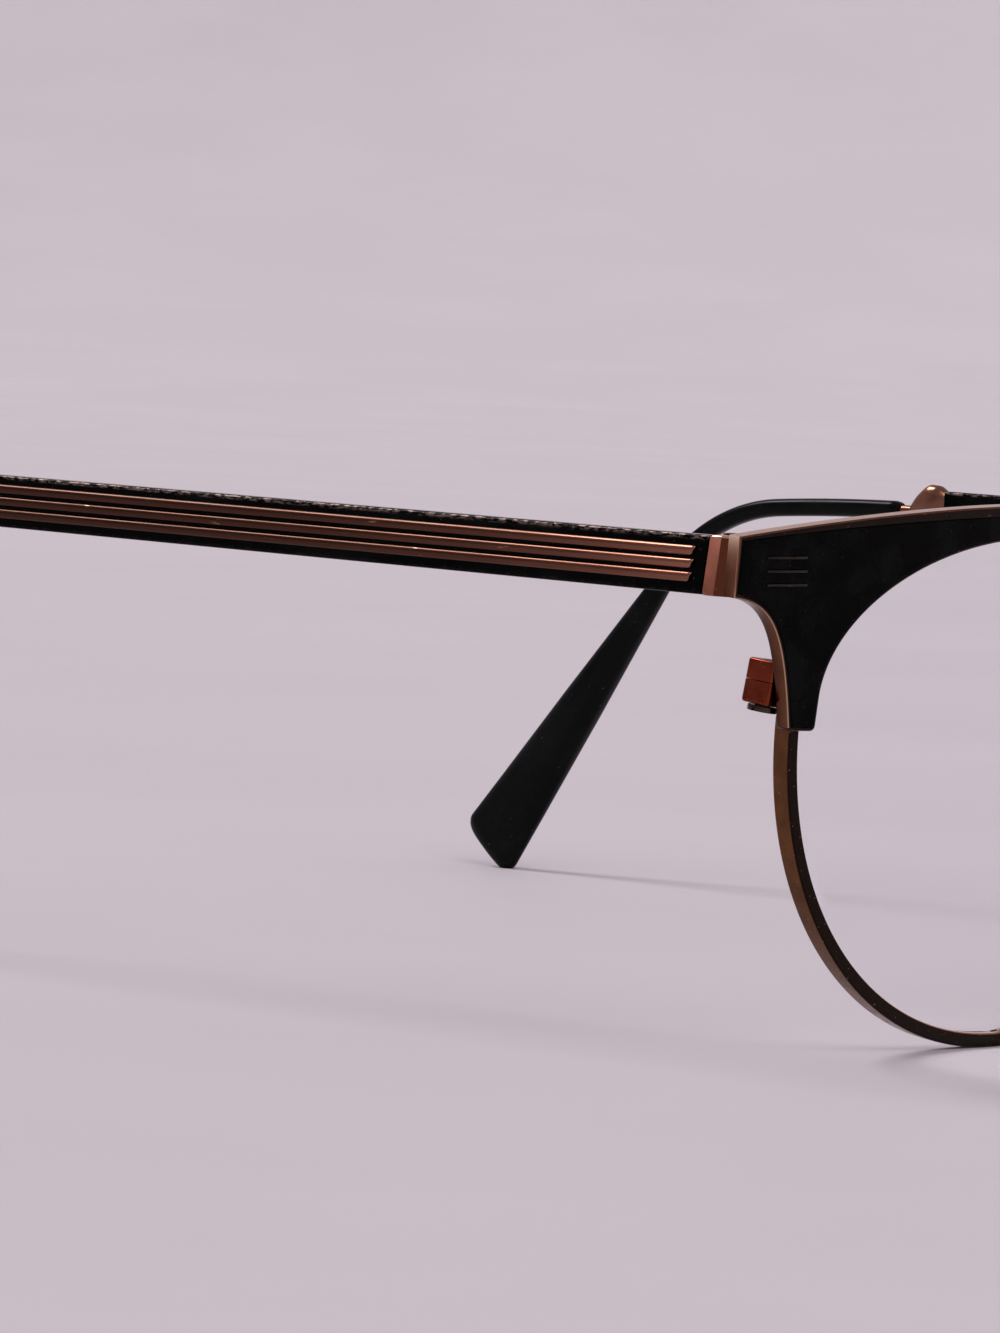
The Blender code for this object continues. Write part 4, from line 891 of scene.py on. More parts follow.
def make_lens():
    """A clear meniscus whose V edge sits in the groove."""
    centre = Vector((LENS_INNER + LENS_WIDTH / 2, LENS_HEIGHT / 2))
    shoulder = -LENS_SEAT - FIT_GAP

    def ring(offset, share, back):
        points = []
        for edge in ring_outline(offset):
            place = centre + (edge - centre) * share
            points.append(on_front(*place, RIM_DEPTH / 2 + back - LENS_BULGE * (1 - share**2)))
        return points

    half = LENS_THICKNESS / 2
    rings = [ring(shoulder, share, half) for share in reversed(LENS_RING_SHARES)]
    rings += [ring(shoulder, 1, half), ring(0, 1, 0), ring(shoulder, 1, -half)]
    rings += [ring(shoulder, share, -half) for share in LENS_RING_SHARES]
    return loft(rings)


def brow_outline(end_drop=0.0, crown_drop=0.0):
    """The brow's outline, counter-clockwise from its top outer corner, its top edge this much lower."""
    bottom_end = Vector((HALF_WIDTH, ENDPIECE_BOTTOM))
    top_end = Vector((HALF_WIDTH + ENDPIECE_SLANT, ENDPIECE_TOP - end_drop))
    crown = Vector((CROWN_ACROSS, BROW_TOP - crown_drop))
    overhang = RIM_OUTSIDE + BROW_NASAL_OVERHANG
    nasal = lens_point(BROW_NASAL_TURN_SHARE, overhang)
    run, rise = top_end.x - crown.x, crown.y - top_end.y
    outer_handle = top_end + Vector((-run * BROW_END_HANDLE_SHARES[0], rise * BROW_END_HANDLE_SHARES[1]))
    points = bezier(top_end, outer_handle, crown + Vector((run * BROW_CROWN_HANDLE_SHARES[0], 0)), crown)
    along = (nasal - lens_point(BROW_NASAL_TURN_SHARE - BROW_NASAL_STEP_SHARE, overhang)).normalized()
    fall = (crown.x - nasal.x) * BROW_CROWN_HANDLE_SHARES[1]
    nasal_handle = nasal - along * (crown.y - nasal.y) * BROW_NASAL_HANDLE_SHARE
    points += bezier(crown, crown - Vector((fall, 0)), nasal_handle, nasal)[1:-1]

    nasal_inner = lens_point(BROW_NASAL_TURN_SHARE, BROW_INNER)
    nasal_corner = rounded_corner(points[-CORNER_STEPS], nasal, nasal_inner, BROW_CORNER)
    points = clear_of(points, nasal_corner, nasal) + nasal_corner
    steps = round(RIM_STEPS * BROW_NASAL_TURN_SHARE)
    back_turns = [BROW_NASAL_TURN_SHARE * (1 - step / steps) for step in range(1, steps + 1)]
    edge = [lens_point(turn, BROW_INNER) for turn in back_turns]
    inner_corner = rounded_corner(nasal, nasal_inner, edge[CORNER_STEPS // 2], BROW_CORNER)
    points += inner_corner + clear_of(edge, inner_corner, nasal_inner)
    foot_inner = edge[-1] - Vector((0, BROW_FOOT_DROP))
    foot_outer = foot_inner + Vector((BROW_FOOT_WIDTH, 0))
    side = bottom_end - foot_outer
    into_foot = foot_outer + side * Vector(BROW_FILLET_END_SHARES)
    points += rounded_corner(edge[-1], foot_inner, foot_outer, BROW_CORNER)
    foot_corner = rounded_corner(foot_inner, foot_outer, into_foot, BROW_CORNER)
    out_of_end = bottom_end - side * Vector(BROW_FILLET_START_SHARES)
    fillet = bezier(foot_outer, into_foot, out_of_end, bottom_end)[1:]
    return thinned(points + foot_corner + clear_of(fillet, foot_corner, foot_outer))


def distance_to(points):
    """A function that gives how far a place lies from the nearest of these points of a flat outline."""
    tree = KDTree(len(points))
    for i, (across, up) in enumerate(points):
        tree.insert((across, 0, up), i)
    tree.balance()
    return lambda place: tree.find((place.x, 0, place.z))[2]


def make_brow_plate(outline, face_outline):
    """The metal plate: a pocket in front for the black face, a rebate behind for the eyewire, and marks for
    painted shade and a painted highlight.
    """
    pocket = plate(inset(face_outline, BROW_BORDER), BROW_FRONT - OVERRUN, BROW_FRONT + FACE_DEPTH)
    cut = combined(slab(outline, BROW_FRONT, BROW_BACK, BROW_EDGE), [pocket, rim_room(-FIT_GAP, OVERRUN)])
    to_lens = distance_to([lens_point(step / RIM_STEPS / 4, BROW_INNER) for step in range(RIM_STEPS * 4)])
    above = [point for point in outline if point.x < CROWN_ACROSS or point.y > ENDPIECE_TOP - WELD]
    leave = BROW_LAP * BROW_TOP_LEAVE_SHARE
    to_top = distance_to([point for point in above if to_lens(Vector((point.x, 0, point.y))) > leave])
    foot = lens_point(0, BROW_INNER).y - BROW_FOOT_DROP
    near = BROW_EDGE * NEAR_EDGE_SHARE
    bevel_end, back_start = BROW_FRONT + BROW_EDGE * BEVEL_END_SHARE, BROW_BACK - WELD

    def on_top(place):
        return to_top(place) < near and place.y < back_start

    # Painted near-black shade on the lens-side wall, under the foot and on the front border.
    def dark(place):
        if place.y > back_start:
            return False
        return to_lens(place) < near or place.z < foot + near or place.y < BROW_FRONT + WELD

    # Painted highlight on the top face and on the front bevel.
    def rub_and_highlight(place):
        if on_top(place):
            return place.y > bevel_end
        return BEVEL_PAINTED_HIGHLIGHT_SHARE * (not dark(place) and place.y < bevel_end)

    # Painted shade, darker towards the back of the side walls and even on the back face.
    def behind(place):
        if place.y > back_start:
            return BACK_SHADE_SHARE
        return 0.0 if on_top(place) else (place.y - BROW_FRONT) / BROW_DEPTH

    marked(cut, "shade", behind)
    marked(cut, "inside", dark)
    return on_wrap(marked(cut, "edge", rub_and_highlight))


def line_outlines(margin):
    """The three short raised lines as outlines, grown by this margin."""
    slope = Matrix.Rotation(-LINE_SLOPE, 2)
    half = Vector((LINE_LENGTH / 2 + margin, LINE_WIDTH / 2 + margin))
    outlines = []
    for row in range(RIB_COUNT):
        outer_end = HALF_WIDTH - LINE_MARGIN - LINE_STEP_IN * row
        centre = Vector((outer_end - LINE_LENGTH / 2, ENDPIECE_TOP - LINE_TOP_DROP - LINE_PITCH * row))
        corners = [Vector((x * half.x, y * half.y)) for x, y in ((-1, -1), (1, -1), (1, 1), (-1, 1))]
        outlines.append([centre + slope @ corner for corner in corners])
    return outlines


def make_brow_face(outline):
    """The black face, with a groove for each raised line."""
    back = BROW_FRONT + FACE_DEPTH - FIT_GAP
    shape = slab(inset(outline, BROW_BORDER + FIT_GAP), FACE_FRONT, back, FACE_EDGE)
    grooves = [plate(line, FACE_FRONT - OVERRUN, FACE_FRONT + LINE_SUNK) for line in line_outlines(FIT_GAP)]
    return on_wrap(combined(shape, grooves))


def make_brow_line(outline):
    return on_wrap(slab(outline, FACE_FRONT - LINE_PROUD, FACE_FRONT + LINE_SUNK - FIT_GAP, LINE_EDGE))


def make_lock_half(side):
    """The upper (1) or lower (-1) half of the closing block, brazed on the eyewire beside its split."""
    foot, top = -SPLIT_GAP / 2 - LOCK_LOWER_HEIGHT, SPLIT_GAP / 2 + LOCK_UPPER_HEIGHT
    block = box((-LOCK_ROOT, LOCK_SETBACK, foot), (LOCK_WIDTH, LOCK_SETBACK + LOCK_DEPTH, top))
    reach = LOCK_UPPER_HEIGHT + LOCK_LOWER_HEIGHT
    levels = sorted((side * SEAM_GAP / 2, -side * OVERRUN))
    other = box((-OVERRUN, -OVERRUN, levels[0]), (OVERRUN * 2, OVERRUN * 2, levels[1]))
    room = placed(on_wrap(rim_room(-OVERRUN, OVERRUN)), LOCK.inverted() @ FRONT)
    hole = cylinder(LOCK_SCREW_RADIUS + FIT_GAP, -reach, reach, LOCK_MIDDLE)
    half = combined(rounded(block, LOCK_EDGE, LOCK_BEVEL_STEPS), [other])
    return combined(rounded(half, SEAM_EDGE, SEAM_BEVEL_STEPS, SEAM_ANGLE), [room, hole])


def make_screw(pin, pin_low, pin_high, head, head_low, head_high, slot_down):
    """A slotted screw along Z, its slot in the lower or upper face of the head."""
    reach, half = head * 2, SCREW_SLOT_WIDTH / 2
    low, high = head_high - SCREW_SLOT_DEPTH, head_high + reach
    if slot_down:
        low, high = head_low - reach, head_low + SCREW_SLOT_DEPTH
    disc = rounded(cylinder(head, head_low, head_high), SCREW_EDGE)
    slot = box((-reach, -half, low), (reach, half, high))
    return combined(cylinder(pin, pin_low, pin_high), [slot], [disc])


def brow_room(gap, place):
    """What lies ahead of the brow plate's back beside the hinge, in a frame of its own."""
    low = (HINGE_ACROSS - OVERRUN, ENDPIECE_BOTTOM - OVERRUN)
    high = (HALF_WIDTH + OVERRUN, ENDPIECE_TOP + OVERRUN)
    outline = [Vector(corner) for corner in (low, (high[0], low[1]), high, (low[0], high[1]))]
    room = on_wrap(plate(outline, BROW_FRONT - OVERRUN, BROW_BACK + gap))
    return placed(room, place.inverted() @ FRONT)


def hinge_bore():
    reach = KNUCKLE_HEIGHT * 2
    return cylinder(PIN_RADIUS + FIT_GAP, -reach, reach)


def make_endpiece():
    """The front half of the hinge: a leaf on the brow's back with the upper and lower knuckles."""
    low, high = KNUCKLE_HEIGHT / 2 + RUNNING_GAP, KNUCKLES_TOP
    ahead = -HINGE_SETBACK - HINGE_ROOT_DEPTH
    leaf = box((-HINGE_ROOT_INNER, ahead, -high), (0, -BARREL_RADIUS - RUNNING_GAP, high))
    others = []
    for bottom, top in ((low, high), (-high, -low)):
        others.append(rounded(cylinder(BARREL_RADIUS, bottom, top), HINGE_EDGE))
        others.append(box((-BARREL_RADIUS, ahead, bottom), (BARREL_RADIUS / 2, 0, top)))
    return combined(rounded(leaf, HINGE_EDGE), [brow_room(FIT_GAP, HINGE), hinge_bore()], others)


def make_temple_hinge():
    """The temple's half of the hinge: the middle knuckle on a leaf along the bar's inner side."""
    half_knuckle = KNUCKLE_HEIGHT / 2
    outside = TEMPLE_OUTSIDE - CAP_THICKNESS - FIT_GAP
    inside = outside - HINGE_LEAF_THICKNESS
    clear_back = BARREL_RADIUS + HINGE_LEAF_CLEAR
    half_leaf = HINGE_LEAF_HEIGHT / 2
    leaf = box((inside, clear_back, -half_leaf), (outside, clear_back + HINGE_LEAF_LENGTH, half_leaf))
    others = [
        rounded(cylinder(BARREL_RADIUS, -half_knuckle, half_knuckle), HINGE_EDGE),
        box((inside, 0, -half_knuckle), (outside, clear_back + FIT_GAP, half_knuckle)),
    ]
    return combined(rounded(leaf, HINGE_EDGE), [hinge_bore()], others)


def temple_section(inside, outside, half_up, along, shear=0.0):
    """A rounded section of the temple, leaning with the front where it is sheared."""
    points = oblong((outside - inside) / 2, half_up, BAR_ROUND)
    return [Vector(((inside + outside) / 2 + x, along - z * shear, z)) for x, z in points]


def make_temple_cap():
    """The bright band at the temple's front end, bevelled towards the joint, with painted shade on the bevel
    and towards the bottom and a painted highlight along the top.
    """
    butt = -HINGE_SETBACK
    inside = TEMPLE_OUTSIDE - CAP_THICKNESS
    half_up = CAP_HEIGHT / 2
    stations = [
        (butt - CAP_BEVEL_LENGTH * CAP_LEAD_SHARE, CAP_BEVEL_DEPTH * (1 + CAP_LEAD_SHARE), half_up),
        (butt + CAP_BEVEL_LENGTH - CROWDED, CAP_BEVEL_DEPTH * CROWDED / CAP_BEVEL_LENGTH, half_up),
        (butt + CAP_BEVEL_LENGTH, 0, half_up),
    ]
    for ahead, inwards in CAP_REAR_SHARES:
        drawn_in = BAR_ROUND * inwards
        stations.append((butt + CAP_LENGTH - BAR_ROUND * ahead, drawn_in, half_up - drawn_in))
    rings = []
    for along, drawn_in, up in stations:
        rings.append(temple_section(inside, TEMPLE_OUTSIDE - drawn_in, up, along, FRONT_LEAN))
    cap = combined(loft(rings), [brow_room(BUTT_GAP, TEMPLE)])
    bevel_end = butt + CAP_BEVEL_LENGTH - CROWDED / 2

    # Painted shade: full on the bevel, and darker towards the bottom elsewhere.
    def painted_shade(place):
        if place.y + place.z * FRONT_LEAN < bevel_end:
            return 1.0
        return CAP_PAINTED_SHADE_SHARE * (half_up - place.z) / CAP_HEIGHT

    marked(cap, "shade", painted_shade)
    # Painted highlight along the top.
    return marked(cap, "edge", lambda place: CAP_PAINTED_HIGHLIGHT_SHARE * (place.z > half_up - BAR_ROUND))


def make_temple_bar():
    """The flat black bar, a little lower at its rear end."""
    inside = TEMPLE_OUTSIDE - BAR_THICKNESS
    start = temple_section(inside, TEMPLE_OUTSIDE, BAR_HEIGHT / 2, BAR_START - HINGE_SETBACK, FRONT_LEAN)
    end = temple_section(inside, TEMPLE_OUTSIDE, BAR_END_HEIGHT / 2, BAR_END - HINGE_SETBACK)
    build = opened(loft([start, end]))
    level = BAR_END_HEIGHT / 2 - BAR_ROUND - BAR_WEAR
    for side in (-1, 1):
        slice_at(build, (0, 0, side * level), (0, 0, 1))

    def worn(place):
        along = min(max((place.y + HINGE_SETBACK - BAR_START) / BAR_LENGTH, 0), 1)
        half_up = between(BAR_HEIGHT, BAR_END_HEIGHT, along) / 2
        round_share = (abs(place.z) - half_up + BAR_ROUND) / BAR_ROUND
        if not -BAR_WORN_SHARES[0] < round_share < BAR_WORN_SHARES[1]:
            return 0.0
        return 1.0 if place.z > 0 else BAR_WEAR_BELOW_SHARE

    return marked(mesh_of(build), "edge", worn)


def make_temple_rib(row):
    """One of the ribs along the bar's outer face, with a chisel end and painted shade that grows darker
    towards the rear.
    """
    level = RIB_PITCH * ((RIB_COUNT - 1) / 2 - row)
    start, end = BAR_START + RIB_SETBACK - HINGE_SETBACK, BAR_END - HINGE_SETBACK
    stations = [(start + RIB_PROUD * ahead, share) for ahead, share in RIB_NOSE_SHARES]
    stations += [(start + (end - start) * step / RIB_SPANS, 1) for step in range(1, RIB_SPANS)] + [(end, 1)]
    half_steps = SECTION_STEPS // 2
    rings = []
    for along, share in stations:
        shear, lean = (math.tan(RIB_CHISEL), level * FRONT_LEAN) if along < end else (0, 0)
        ring = []
        for step in range(half_steps + 1):
            angle = math.pi * step / half_steps - math.pi / 2
            out = TEMPLE_OUTSIDE + FIT_GAP + RIB_PROUD * share * math.cos(angle)
            height = RIB_WIDTH / 2 * share * math.sin(angle)
            ring.append(Vector((out, along - lean + (RIB_WIDTH / 2 - height) * shear, level + height)))
        rings.append(ring)

    # Painted shade, growing towards the rear.
    def painted_shade(place):
        behind = min(max((place.y - start) / (end - start), 0), 1)
        return 1 - (1 - behind) ** RIB_PAINTED_SHADE_POWER

    return marked(loft(rings), "shade", painted_shade)


def temple_place(along):
    """(back, up, angle) of the temple's centre line at this distance behind its front end."""
    back, up, angle, reached = -HINGE_SETBACK, 0.0, 0.0, 0.0
    for start, turn, radius in ((DROOP_AT, DROOP_ANGLE, DROOP_RADIUS), (BEND_AT, BEND_ANGLE, BEND_RADIUS)):
        straight = max(0.0, min(along, start) - reached)
        swept = min(turn, max(0.0, along - start) / radius)
        back += straight * math.cos(angle) + radius * (math.sin(angle + swept) - math.sin(angle))
        up -= straight * math.sin(angle) + radius * (math.cos(angle) - math.cos(angle + swept))
        angle += swept
        reached = start + turn * radius
    rest = max(0.0, along - reached)
    return back + rest * math.cos(angle), up - rest * math.sin(angle), angle


def bend_stations():
    """Distances along the temple that follow its bend closely and its straights loosely."""
    steps = [BEND_RADIUS * BEND_ANGLE * step / CURVE_STEPS for step in range(CURVE_STEPS + 1)]
    droop = [DROOP_AT + (BEND_AT - DROOP_AT) * step / CURVE_STEPS for step in range(CURVE_STEPS)]
    return droop + [BEND_AT + step for step in steps]


def core_points(start, end):
    """The core wire's centre line between two distances along the temple."""
    stations = [start] + [station for station in bend_stations() if start < station < end] + [end]
    return [Vector((CORE_MIDDLE, *temple_place(station)[:2])) for station in stations]


def find_sleeve_end():
    """How far along the temple its tip reaches the table."""
    bend_end = bend_stations()[-1]
    back, up, angle = temple_place(bend_end)
    lean = angle - TEMPLE_RISE
    height = hinge_place.z + up * math.cos(TEMPLE_RISE) + back * math.sin(TEMPLE_RISE)
    corner = TIP_WIDTH / 2 * (math.cos(lean) + math.tan(TIP_END_SKEW) * math.sin(lean))
    rounding = TIP_END_ROUND * (math.sin(lean) + math.cos(lean) - 1)
    return bend_end + (height - corner + rounding + TIP_FLAT) / math.sin(lean)


SLEEVE_END = find_sleeve_end()


def sleeve_ring(along, width, thickness):
    """A section of the tip sleeve, square to the centre line except for the skewed end."""
    back, up, angle = temple_place(along)
    skew = math.tan(TIP_END_SKEW) * max(0.0, 1 - (SLEEVE_END - along) / TIP_WIDTH)
    ring = []
    for side, across in oval(thickness / 2, width / 2):
        forward = -across * skew
        y = back + forward * math.cos(angle) + across * math.sin(angle)
        z = up - forward * math.sin(angle) + across * math.cos(angle)
        ring.append(Vector((CORE_MIDDLE + side, y, z)))
    return ring


def make_temple_tip():
    """The black sleeve: a thin neck, the bend behind the ear and a paddle that rests on the table."""
    full = SLEEVE_END - TIP_END_ROUND
    bend_end = bend_stations()[-1]
    lead = SLEEVE_START + NECK_LEAD
    stations = [(SLEEVE_START + NECK_LEAD * along, scale) for along, scale in NECK_LEAD_SHARES]
    stations += [(station, 1) for station in bend_stations() if station > lead]
    stations += [(bend_end + (full - bend_end) * (step + 1) / CURVE_STEPS, 1) for step in range(CURVE_STEPS)]
    rings = []
    for along, scale in stations:
        swell = max(0.0, (along - SWELL_AT) / (full - SWELL_AT))
        width = between(NECK_HEIGHT, TIP_WIDTH, swell)
        belly = between(NECK_THICKNESS, TIP_THICKNESS, min(swell * 2, 1))
        thickness = belly + (TIP_END_THICKNESS - TIP_THICKNESS) * max(0.0, swell * 2 - 1)
        rings.append(sleeve_ring(along, width * scale, thickness * scale))
    for step in range(1, CORNER_STEPS * 2):
        angle = math.pi / 4 * step / CORNER_STEPS
        drawn_in = TIP_END_ROUND * (1 - math.cos(angle))
        along = full + TIP_END_ROUND * math.sin(angle)
        rings.append(sleeve_ring(along, TIP_WIDTH - 2 * drawn_in, TIP_END_THICKNESS - drawn_in))
    bore_end = SLEEVE_END - TIP_SOLID_END + FIT_GAP
    bore = wire(core_points(SLEEVE_START - OVERRUN, bore_end), CORE_RADIUS + FIT_GAP)
    reach = HALF_WIDTH * 3
    table = placed(box((-reach, -reach, -reach), (reach, reach, 0)), TEMPLE.inverted())
    return combined(loft(rings), [bore, table])


def make_temple_collar():
    """The raised collar that joins the flat bar to the round core."""
    start = BAR_END + FIT_GAP - HINGE_SETBACK
    bar, widest, neck = (BAR_THICKNESS, BAR_END_HEIGHT), (COLLAR_THICKNESS, COLLAR_HEIGHT), (COLLAR_NECK,) * 2
    knots = []
    for first, last, shares in ((bar, widest, COLLAR_SWELL_SHARES), (widest, neck, COLLAR_TAPER_SHARES)):
        for along, share in shares:
            knots.append(Vector((along, *(between(a, b, share) for a, b in zip(first, last)))))
    skins = []
    for along_share, thickness, height in smoothed(knots):
        along = start + COLLAR_LENGTH * along_share
        skins.append([Vector((CORE_MIDDLE + x, along, z)) for x, z in oval(thickness / 2, height / 2)])
    socket = wire(core_points(COLLAR_END - COLLAR_SOCKET - FIT_GAP, SLEEVE_START), CORE_RADIUS + FIT_GAP)
    return combined(loft(skins), [socket])


def make_bridge():
    """The arched bar between the eyewires, trimmed to their outer sides."""
    side = lens_point(BRIDGE_TURN_SHARE, -LENS_SEAT)
    top = Vector((0, side.y + BRIDGE_ARCH))
    side_handle = side + Vector((-side.x * BRIDGE_HANDLE_SHARES[0], BRIDGE_ARCH))
    half = bezier(side, side_handle, top + Vector((side.x * BRIDGE_HANDLE_SHARES[1], 0)), top)
    path = half + [Vector((-point.x, point.y)) for point in reversed(half[:-1])]
    rings = []
    for i, point in enumerate(path):
        before, after = path[max(i - 1, 0)], path[min(i + 1, len(path) - 1)]
        along = (after - before).normalized()
        normal = Vector((along.y, -along.x))
        ring = []
        for back, out in oval(BRIDGE_THICKNESS / 2, BRIDGE_HEIGHT / 2):
            ring.append(on_front(*(point + normal * out), RIM_DEPTH / 2 + back))
        rings.append(ring)
    rooms = []
    for sign in (1, -1):
        outline = [Vector((sign * point.x, point.y)) for point in ring_outline(RIM_OUTSIDE + FIT_GAP)]
        rooms.append(plate(outline, -OVERRUN - WRAP_DEPTH, OVERRUN))
    return combined(loft(rings), rooms)


def make_nose_pad():
    """The soft teardrop pad."""
    inner = -PAD_TAB_REACH - PAD_THICKNESS
    layers = [(0, PAD_LAYER_SHARES[0][1] * PAD_CAP_SHARE)] + list(PAD_LAYER_SHARES)
    layers.append((1, PAD_LAYER_SHARES[-1][1] * PAD_CAP_SHARE))
    rings = []
    for depth_share, size_share, _ in smoothed([Vector((depth, size, 0)) for depth, size in layers]):
        depth_share, size_share = min(max(depth_share, 0), 1), min(size_share, 1)
        ring = []
        for angle in turns(ROUND_STEPS):
            up = math.sin(angle)
            narrow = 1 - (1 - PAD_TAPER_SHARE) * (up + 1) / 2
            across = PAD_WIDTH / 2 * math.cos(angle) * narrow * size_share
            crown = PAD_CROWN * (1 - (up * size_share) ** 2) * (1 - depth_share)
            depth = inner + PAD_THICKNESS * depth_share - crown
            ring.append(Vector((depth, across, PAD_HEIGHT / 2 * up * size_share)))
        rings.append(ring)
    return loft(rings)


def pin_across(radius, half_length):
    """A cylinder along Y, as the pad screw lies."""
    return placed(cylinder(radius, -half_length, half_length), ALONG_Y)


def make_pad_core():
    """The metal plate inside the soft pad, with the tab that hangs on the pad screw."""
    half_tab, half_height = PAD_TAB_THICKNESS / 2, PAD_TAB_HEIGHT / 2
    back = -PAD_TAB_REACH - PAD_TAB_SUNK
    tab = box((back, -half_tab, -half_height), (0, half_tab, half_height))
    outline = oblong(PAD_CORE_WIDTH / 2, PAD_CORE_HEIGHT / 2, PAD_CORE_ROUND)
    core = slab(outline, -PAD_CORE_THICKNESS / 2, PAD_CORE_THICKNESS / 2, PAD_EDGE)
    core = placed(placed(core, Matrix.Rotation(math.pi / 2, 4, "Z")), Matrix.Translation((back, 0, 0)))
    eye = pin_across(PAD_TAB_RADIUS, half_tab)
    return combined(core, [pin_across(PAD_PIN_RADIUS + FIT_GAP, OVERRUN)], [eye, tab])


def make_pad_box():
    """The open box at the pad arm's end, with a cheek on each side of the tab."""
    half_slot = PAD_TAB_THICKNESS / 2 + RUNNING_GAP
    low = (-PAD_TAB_RADIUS, -BOX_HALF, -BOX_HEIGHT / 2)
    shape = rounded(box(low, (BOX_INSIDE + BOX_WALL, BOX_HALF, BOX_HEIGHT / 2)), BOX_EDGE)
    slot = box((-OVERRUN, -half_slot, -OVERRUN), (BOX_INSIDE, half_slot, OVERRUN))
    return combined(shape, [slot, pin_across(PAD_PIN_RADIUS + FIT_GAP, OVERRUN)])


def make_pad_screw():
    seat = -BOX_HALF - FIT_GAP
    head = rounded(cylinder(PAD_HEAD_RADIUS, seat - PAD_HEAD_HEIGHT, seat), PAD_EDGE)
    return placed(combined(cylinder(PAD_PIN_RADIUS, seat - FIT_GAP, BOX_HALF), added=[head]), ALONG_Y)


def make_pad_arm():
    """The curved wire from the back of the eyewire to the pad box."""
    start = on_front(*lens_point(ARM_TURN_SHARE, (RIM_OUTSIDE - LENS_SEAT) / 2), RIM_DEPTH + FIT_GAP)
    seat = PAD_IN_FRONT @ Vector((BOX_INSIDE + BOX_WALL + FIT_GAP, 0, 0))
    out = PAD_IN_FRONT.to_3x3() @ Vector((1, 0, 0))
    leave = start + Vector((0, ARM_BACK, 0))
    arrive = seat + out * ARM_LEAD
    points = interpolate_bezier(start, leave, arrive + out * ARM_SWEEP, arrive, CURVE_STEPS * 2)
    return wire(points + [seat], ARM_RADIUS)


face_edge = brow_outline(FACE_END_DROP, FACE_CROWN_DROP)
pair("eyewire", make_eyewire(), rim_metal, "front", FRONT)
for lens in pair("lens", make_lens(), lens_clear, "front", FRONT):
    fit(lens, visible_shadow=False, visible_diffuse=False)
pair("brow_plate", make_brow_plate(brow_outline(), face_edge), brow_metal, "front", FRONT)
pair("brow_face", make_brow_face(face_edge), face_black, "front", FRONT)
for number, outline in enumerate(line_outlines(0.0), start=1):
    pair(f"brow_line_{number}", make_brow_line(outline), inlaid, "front", FRONT)
pair("lock_upper", make_lock_half(1), copper, "front", LOCK)
pair("lock_lower", make_lock_half(-1), copper, "front", LOCK)
head_top = -SPLIT_GAP / 2 - LOCK_LOWER_HEIGHT - FIT_GAP
lock_screw = make_screw(
    LOCK_SCREW_RADIUS, head_top - FIT_GAP, LOCK_UPPER_HEIGHT,
    LOCK_HEAD_RADIUS, head_top - LOCK_HEAD_HEIGHT, head_top, True,
)
pair("lock_screw", lock_screw, screw_metal, "front", LOCK @ Matrix.Translation((*LOCK_MIDDLE, 0)))
show("fine_bridge", placed(make_bridge(), FRONT), plated, "front", "bridge")

pair("pad_arm", make_pad_arm(), plated, "front", FRONT)
pair("pad_box", make_pad_box(), plated, "front", PAD)
pair("pad_screw", make_pad_screw(), plated, "front", PAD)
pair("nose_pad", make_nose_pad(), pad_silicone, "nose_pad", PAD)
pair("pad_core", make_pad_core(), plated, "nose_pad", PAD, in_cad=False)

pair("endpiece", make_endpiece(), plated, "front", HINGE)
hinge_screw = make_screw(
    PIN_RADIUS, -KNUCKLES_TOP, KNUCKLES_TOP + FIT_GAP * 2,
    HINGE_HEAD_RADIUS, KNUCKLES_TOP + FIT_GAP, KNUCKLES_TOP + FIT_GAP + HINGE_HEAD_HEIGHT, False,
)
pair("hinge_screw", hinge_screw, plated, "front", HINGE)
pair("temple_hinge", make_temple_hinge(), plated, "temple", TEMPLE)
pair("temple_cap", make_temple_cap(), cap_metal, "temple", TEMPLE)
pair("temple_bar", make_temple_bar(), bar_black, "temple", TEMPLE)
for number in range(RIB_COUNT):
    pair(f"temple_rib_{number + 1}", make_temple_rib(number), drawn, "temple", TEMPLE)
pair("temple_collar", make_temple_collar(), plated, "temple", TEMPLE)
core_wire = wire(core_points(COLLAR_END - COLLAR_SOCKET, SLEEVE_END - TIP_SOLID_END), CORE_RADIUS)
pair("core_wire", core_wire, plated, "temple", TEMPLE)
pair("temple_tip", make_temple_tip(), tip_black, "temple", TEMPLE)


# Backdrop, world and lamps

FLOOR_RADIUS = 2.5
COVE_RADIUS = 3.0
COVE_STEPS = 24
FLOOR_TURNS = 96
COVE_SHARP_ANGLE = math.radians(1)
FLOOR_COLOUR = linear(203, 195, 201)
FLOOR_PALE = linear(206, 198, 204)
FLOOR_CLOUD_SIZE = 120 * MM
FLOOR_GRAIN_SIZE = 1.5 * MM
FLOOR_GRAIN_DEPTH = 0.02 * MM
WORLD_COLOUR = linear(190, 181, 188)
WORLD_STRENGTH = 0.85


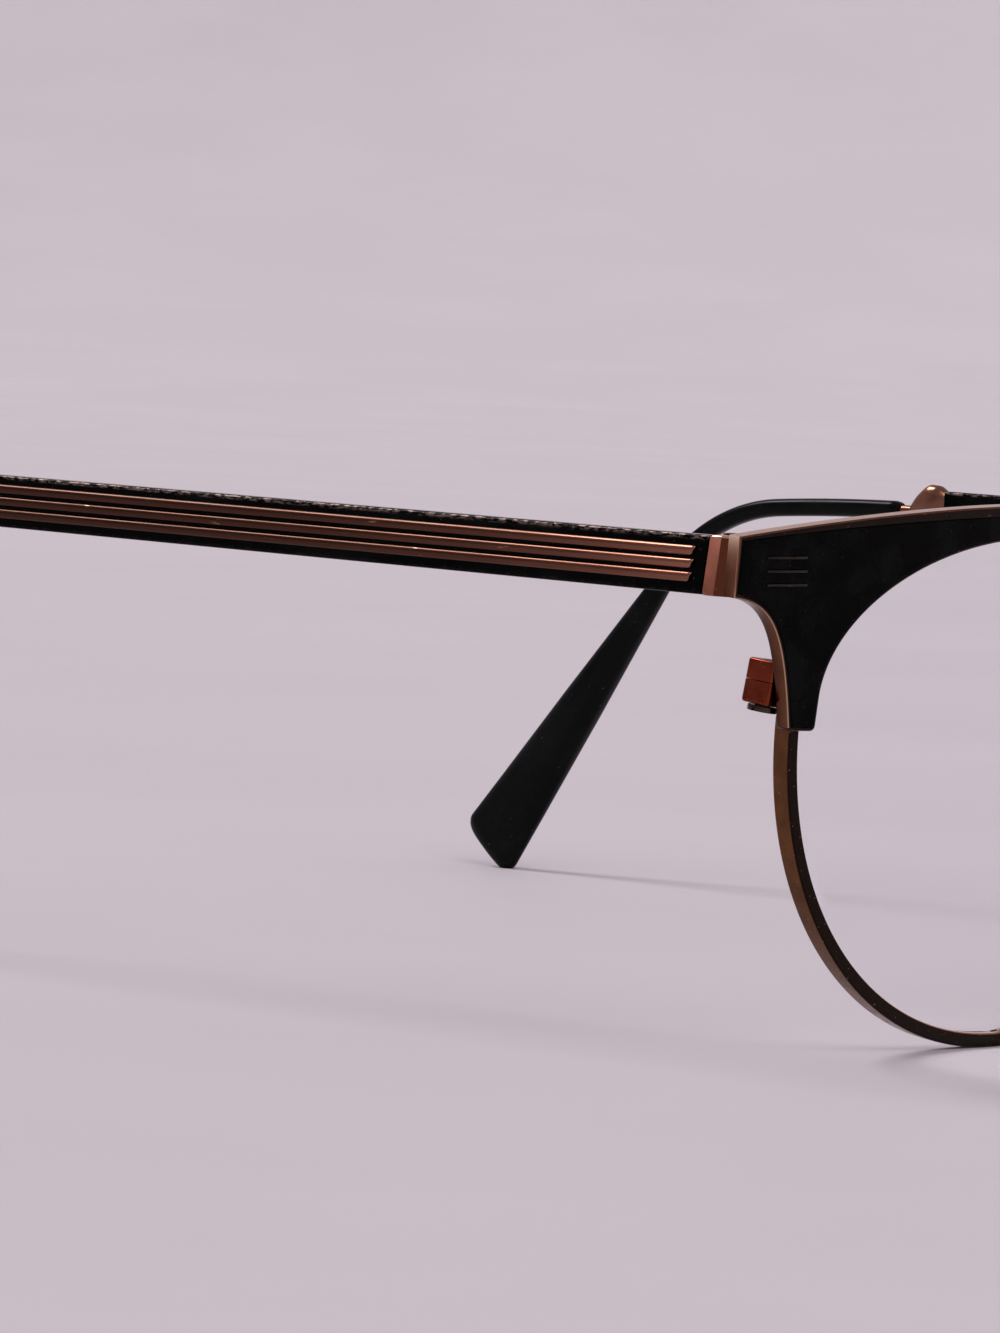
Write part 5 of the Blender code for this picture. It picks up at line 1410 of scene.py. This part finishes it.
def make_cove():
    """A round floor whose rim curves up into a wall."""
    profile = [(FLOOR_RADIUS, 0.0)]
    for step in range(1, COVE_STEPS + 1):
        angle = math.pi / 2 * step / COVE_STEPS
        profile.append((FLOOR_RADIUS + COVE_RADIUS * math.sin(angle), COVE_RADIUS * (1 - math.cos(angle))))
    build = bmesh.new()
    rows = []
    for radius, height in profile:
        row = [(radius * math.cos(t), radius * math.sin(t), height) for t in turns(FLOOR_TURNS)]
        rows.append([build.verts.new(place) for place in row])
    build.faces.new(rows[0])
    for row, following in zip(rows, rows[1:]):
        for i in range(FLOOR_TURNS):
            build.faces.new((row[i - 1], following[i - 1], following[i], row[i]))
    mesh = bpy.data.meshes.new("cove")
    build.to_mesh(mesh)
    build.free()
    mesh.shade_smooth()
    mesh.set_sharp_from_angle(angle=COVE_SHARP_ANGLE)
    return mesh


floor_finish = Finish("pale_floor", "floor")
floor_cloud = floor_finish.ramp(floor_finish.noise(FLOOR_CLOUD_SIZE, 3), 0.3, 0.7)
floor_finish.set(
    Base_Color=floor_finish.mix(floor_cloud, FLOOR_COLOUR, FLOOR_PALE),
    Roughness=0.65,
    Normal=floor_finish.bump(FLOOR_GRAIN_SIZE, detail=3, depth=FLOOR_GRAIN_DEPTH, strength=0.6),
)
floor = linked("floor", make_cove())
floor.data.materials.append(floor_finish.material)

world = bpy.data.worlds.new("studio")
bpy.context.scene.world = world
world.use_nodes = True
background = world.node_tree.nodes["Background"]
background.inputs["Color"].default_value = (*WORLD_COLOUR, 1)
background.inputs["Strength"].default_value = WORLD_STRENGTH


def sun(name, azimuth, elevation, spread, power):
    """A soft white lamp far off, in this direction from the frame, in degrees."""
    light = fit(bpy.data.lights.new(name, "SUN"), angle=math.radians(spread), energy=power)
    turned, raised = math.radians(azimuth), math.radians(elevation)
    level = math.cos(raised)
    away = Vector((level * math.sin(turned), level * math.cos(turned), math.sin(raised)))
    fit(linked(name, light), location=away, rotation_euler=away.to_track_quat("Z", "Y").to_euler())


sun("back_top", azimuth=-17, elevation=51, spread=24, power=1.5)
sun("front_side", azimuth=-150, elevation=42, spread=36, power=0.8)

CAMERA_PLACE = Vector((-512.65, -401.25, 58.81)) * MM
CAMERA_RIGHT = Vector((0.63011, -0.77480, 0.05141))
CAMERA_UP = Vector((0.00776, 0.07248, 0.99734))
CAMERA_BACK = Vector((-0.77647, -0.62804, 0.05169))
CAMERA_LENS = {"sensor_width": 36.0, "lens": 199.19, "clip_start": 0.01, "clip_end": 50.0}
camera = linked("camera", fit(bpy.data.cameras.new("camera"), **CAMERA_LENS))
turn = Matrix((CAMERA_RIGHT, CAMERA_UP, CAMERA_BACK)).transposed()
camera.matrix_world = Matrix.Translation(CAMERA_PLACE) @ turn.to_4x4()
bpy.context.scene.camera = camera
bpy.context.scene.view_settings.view_transform = "Standard"
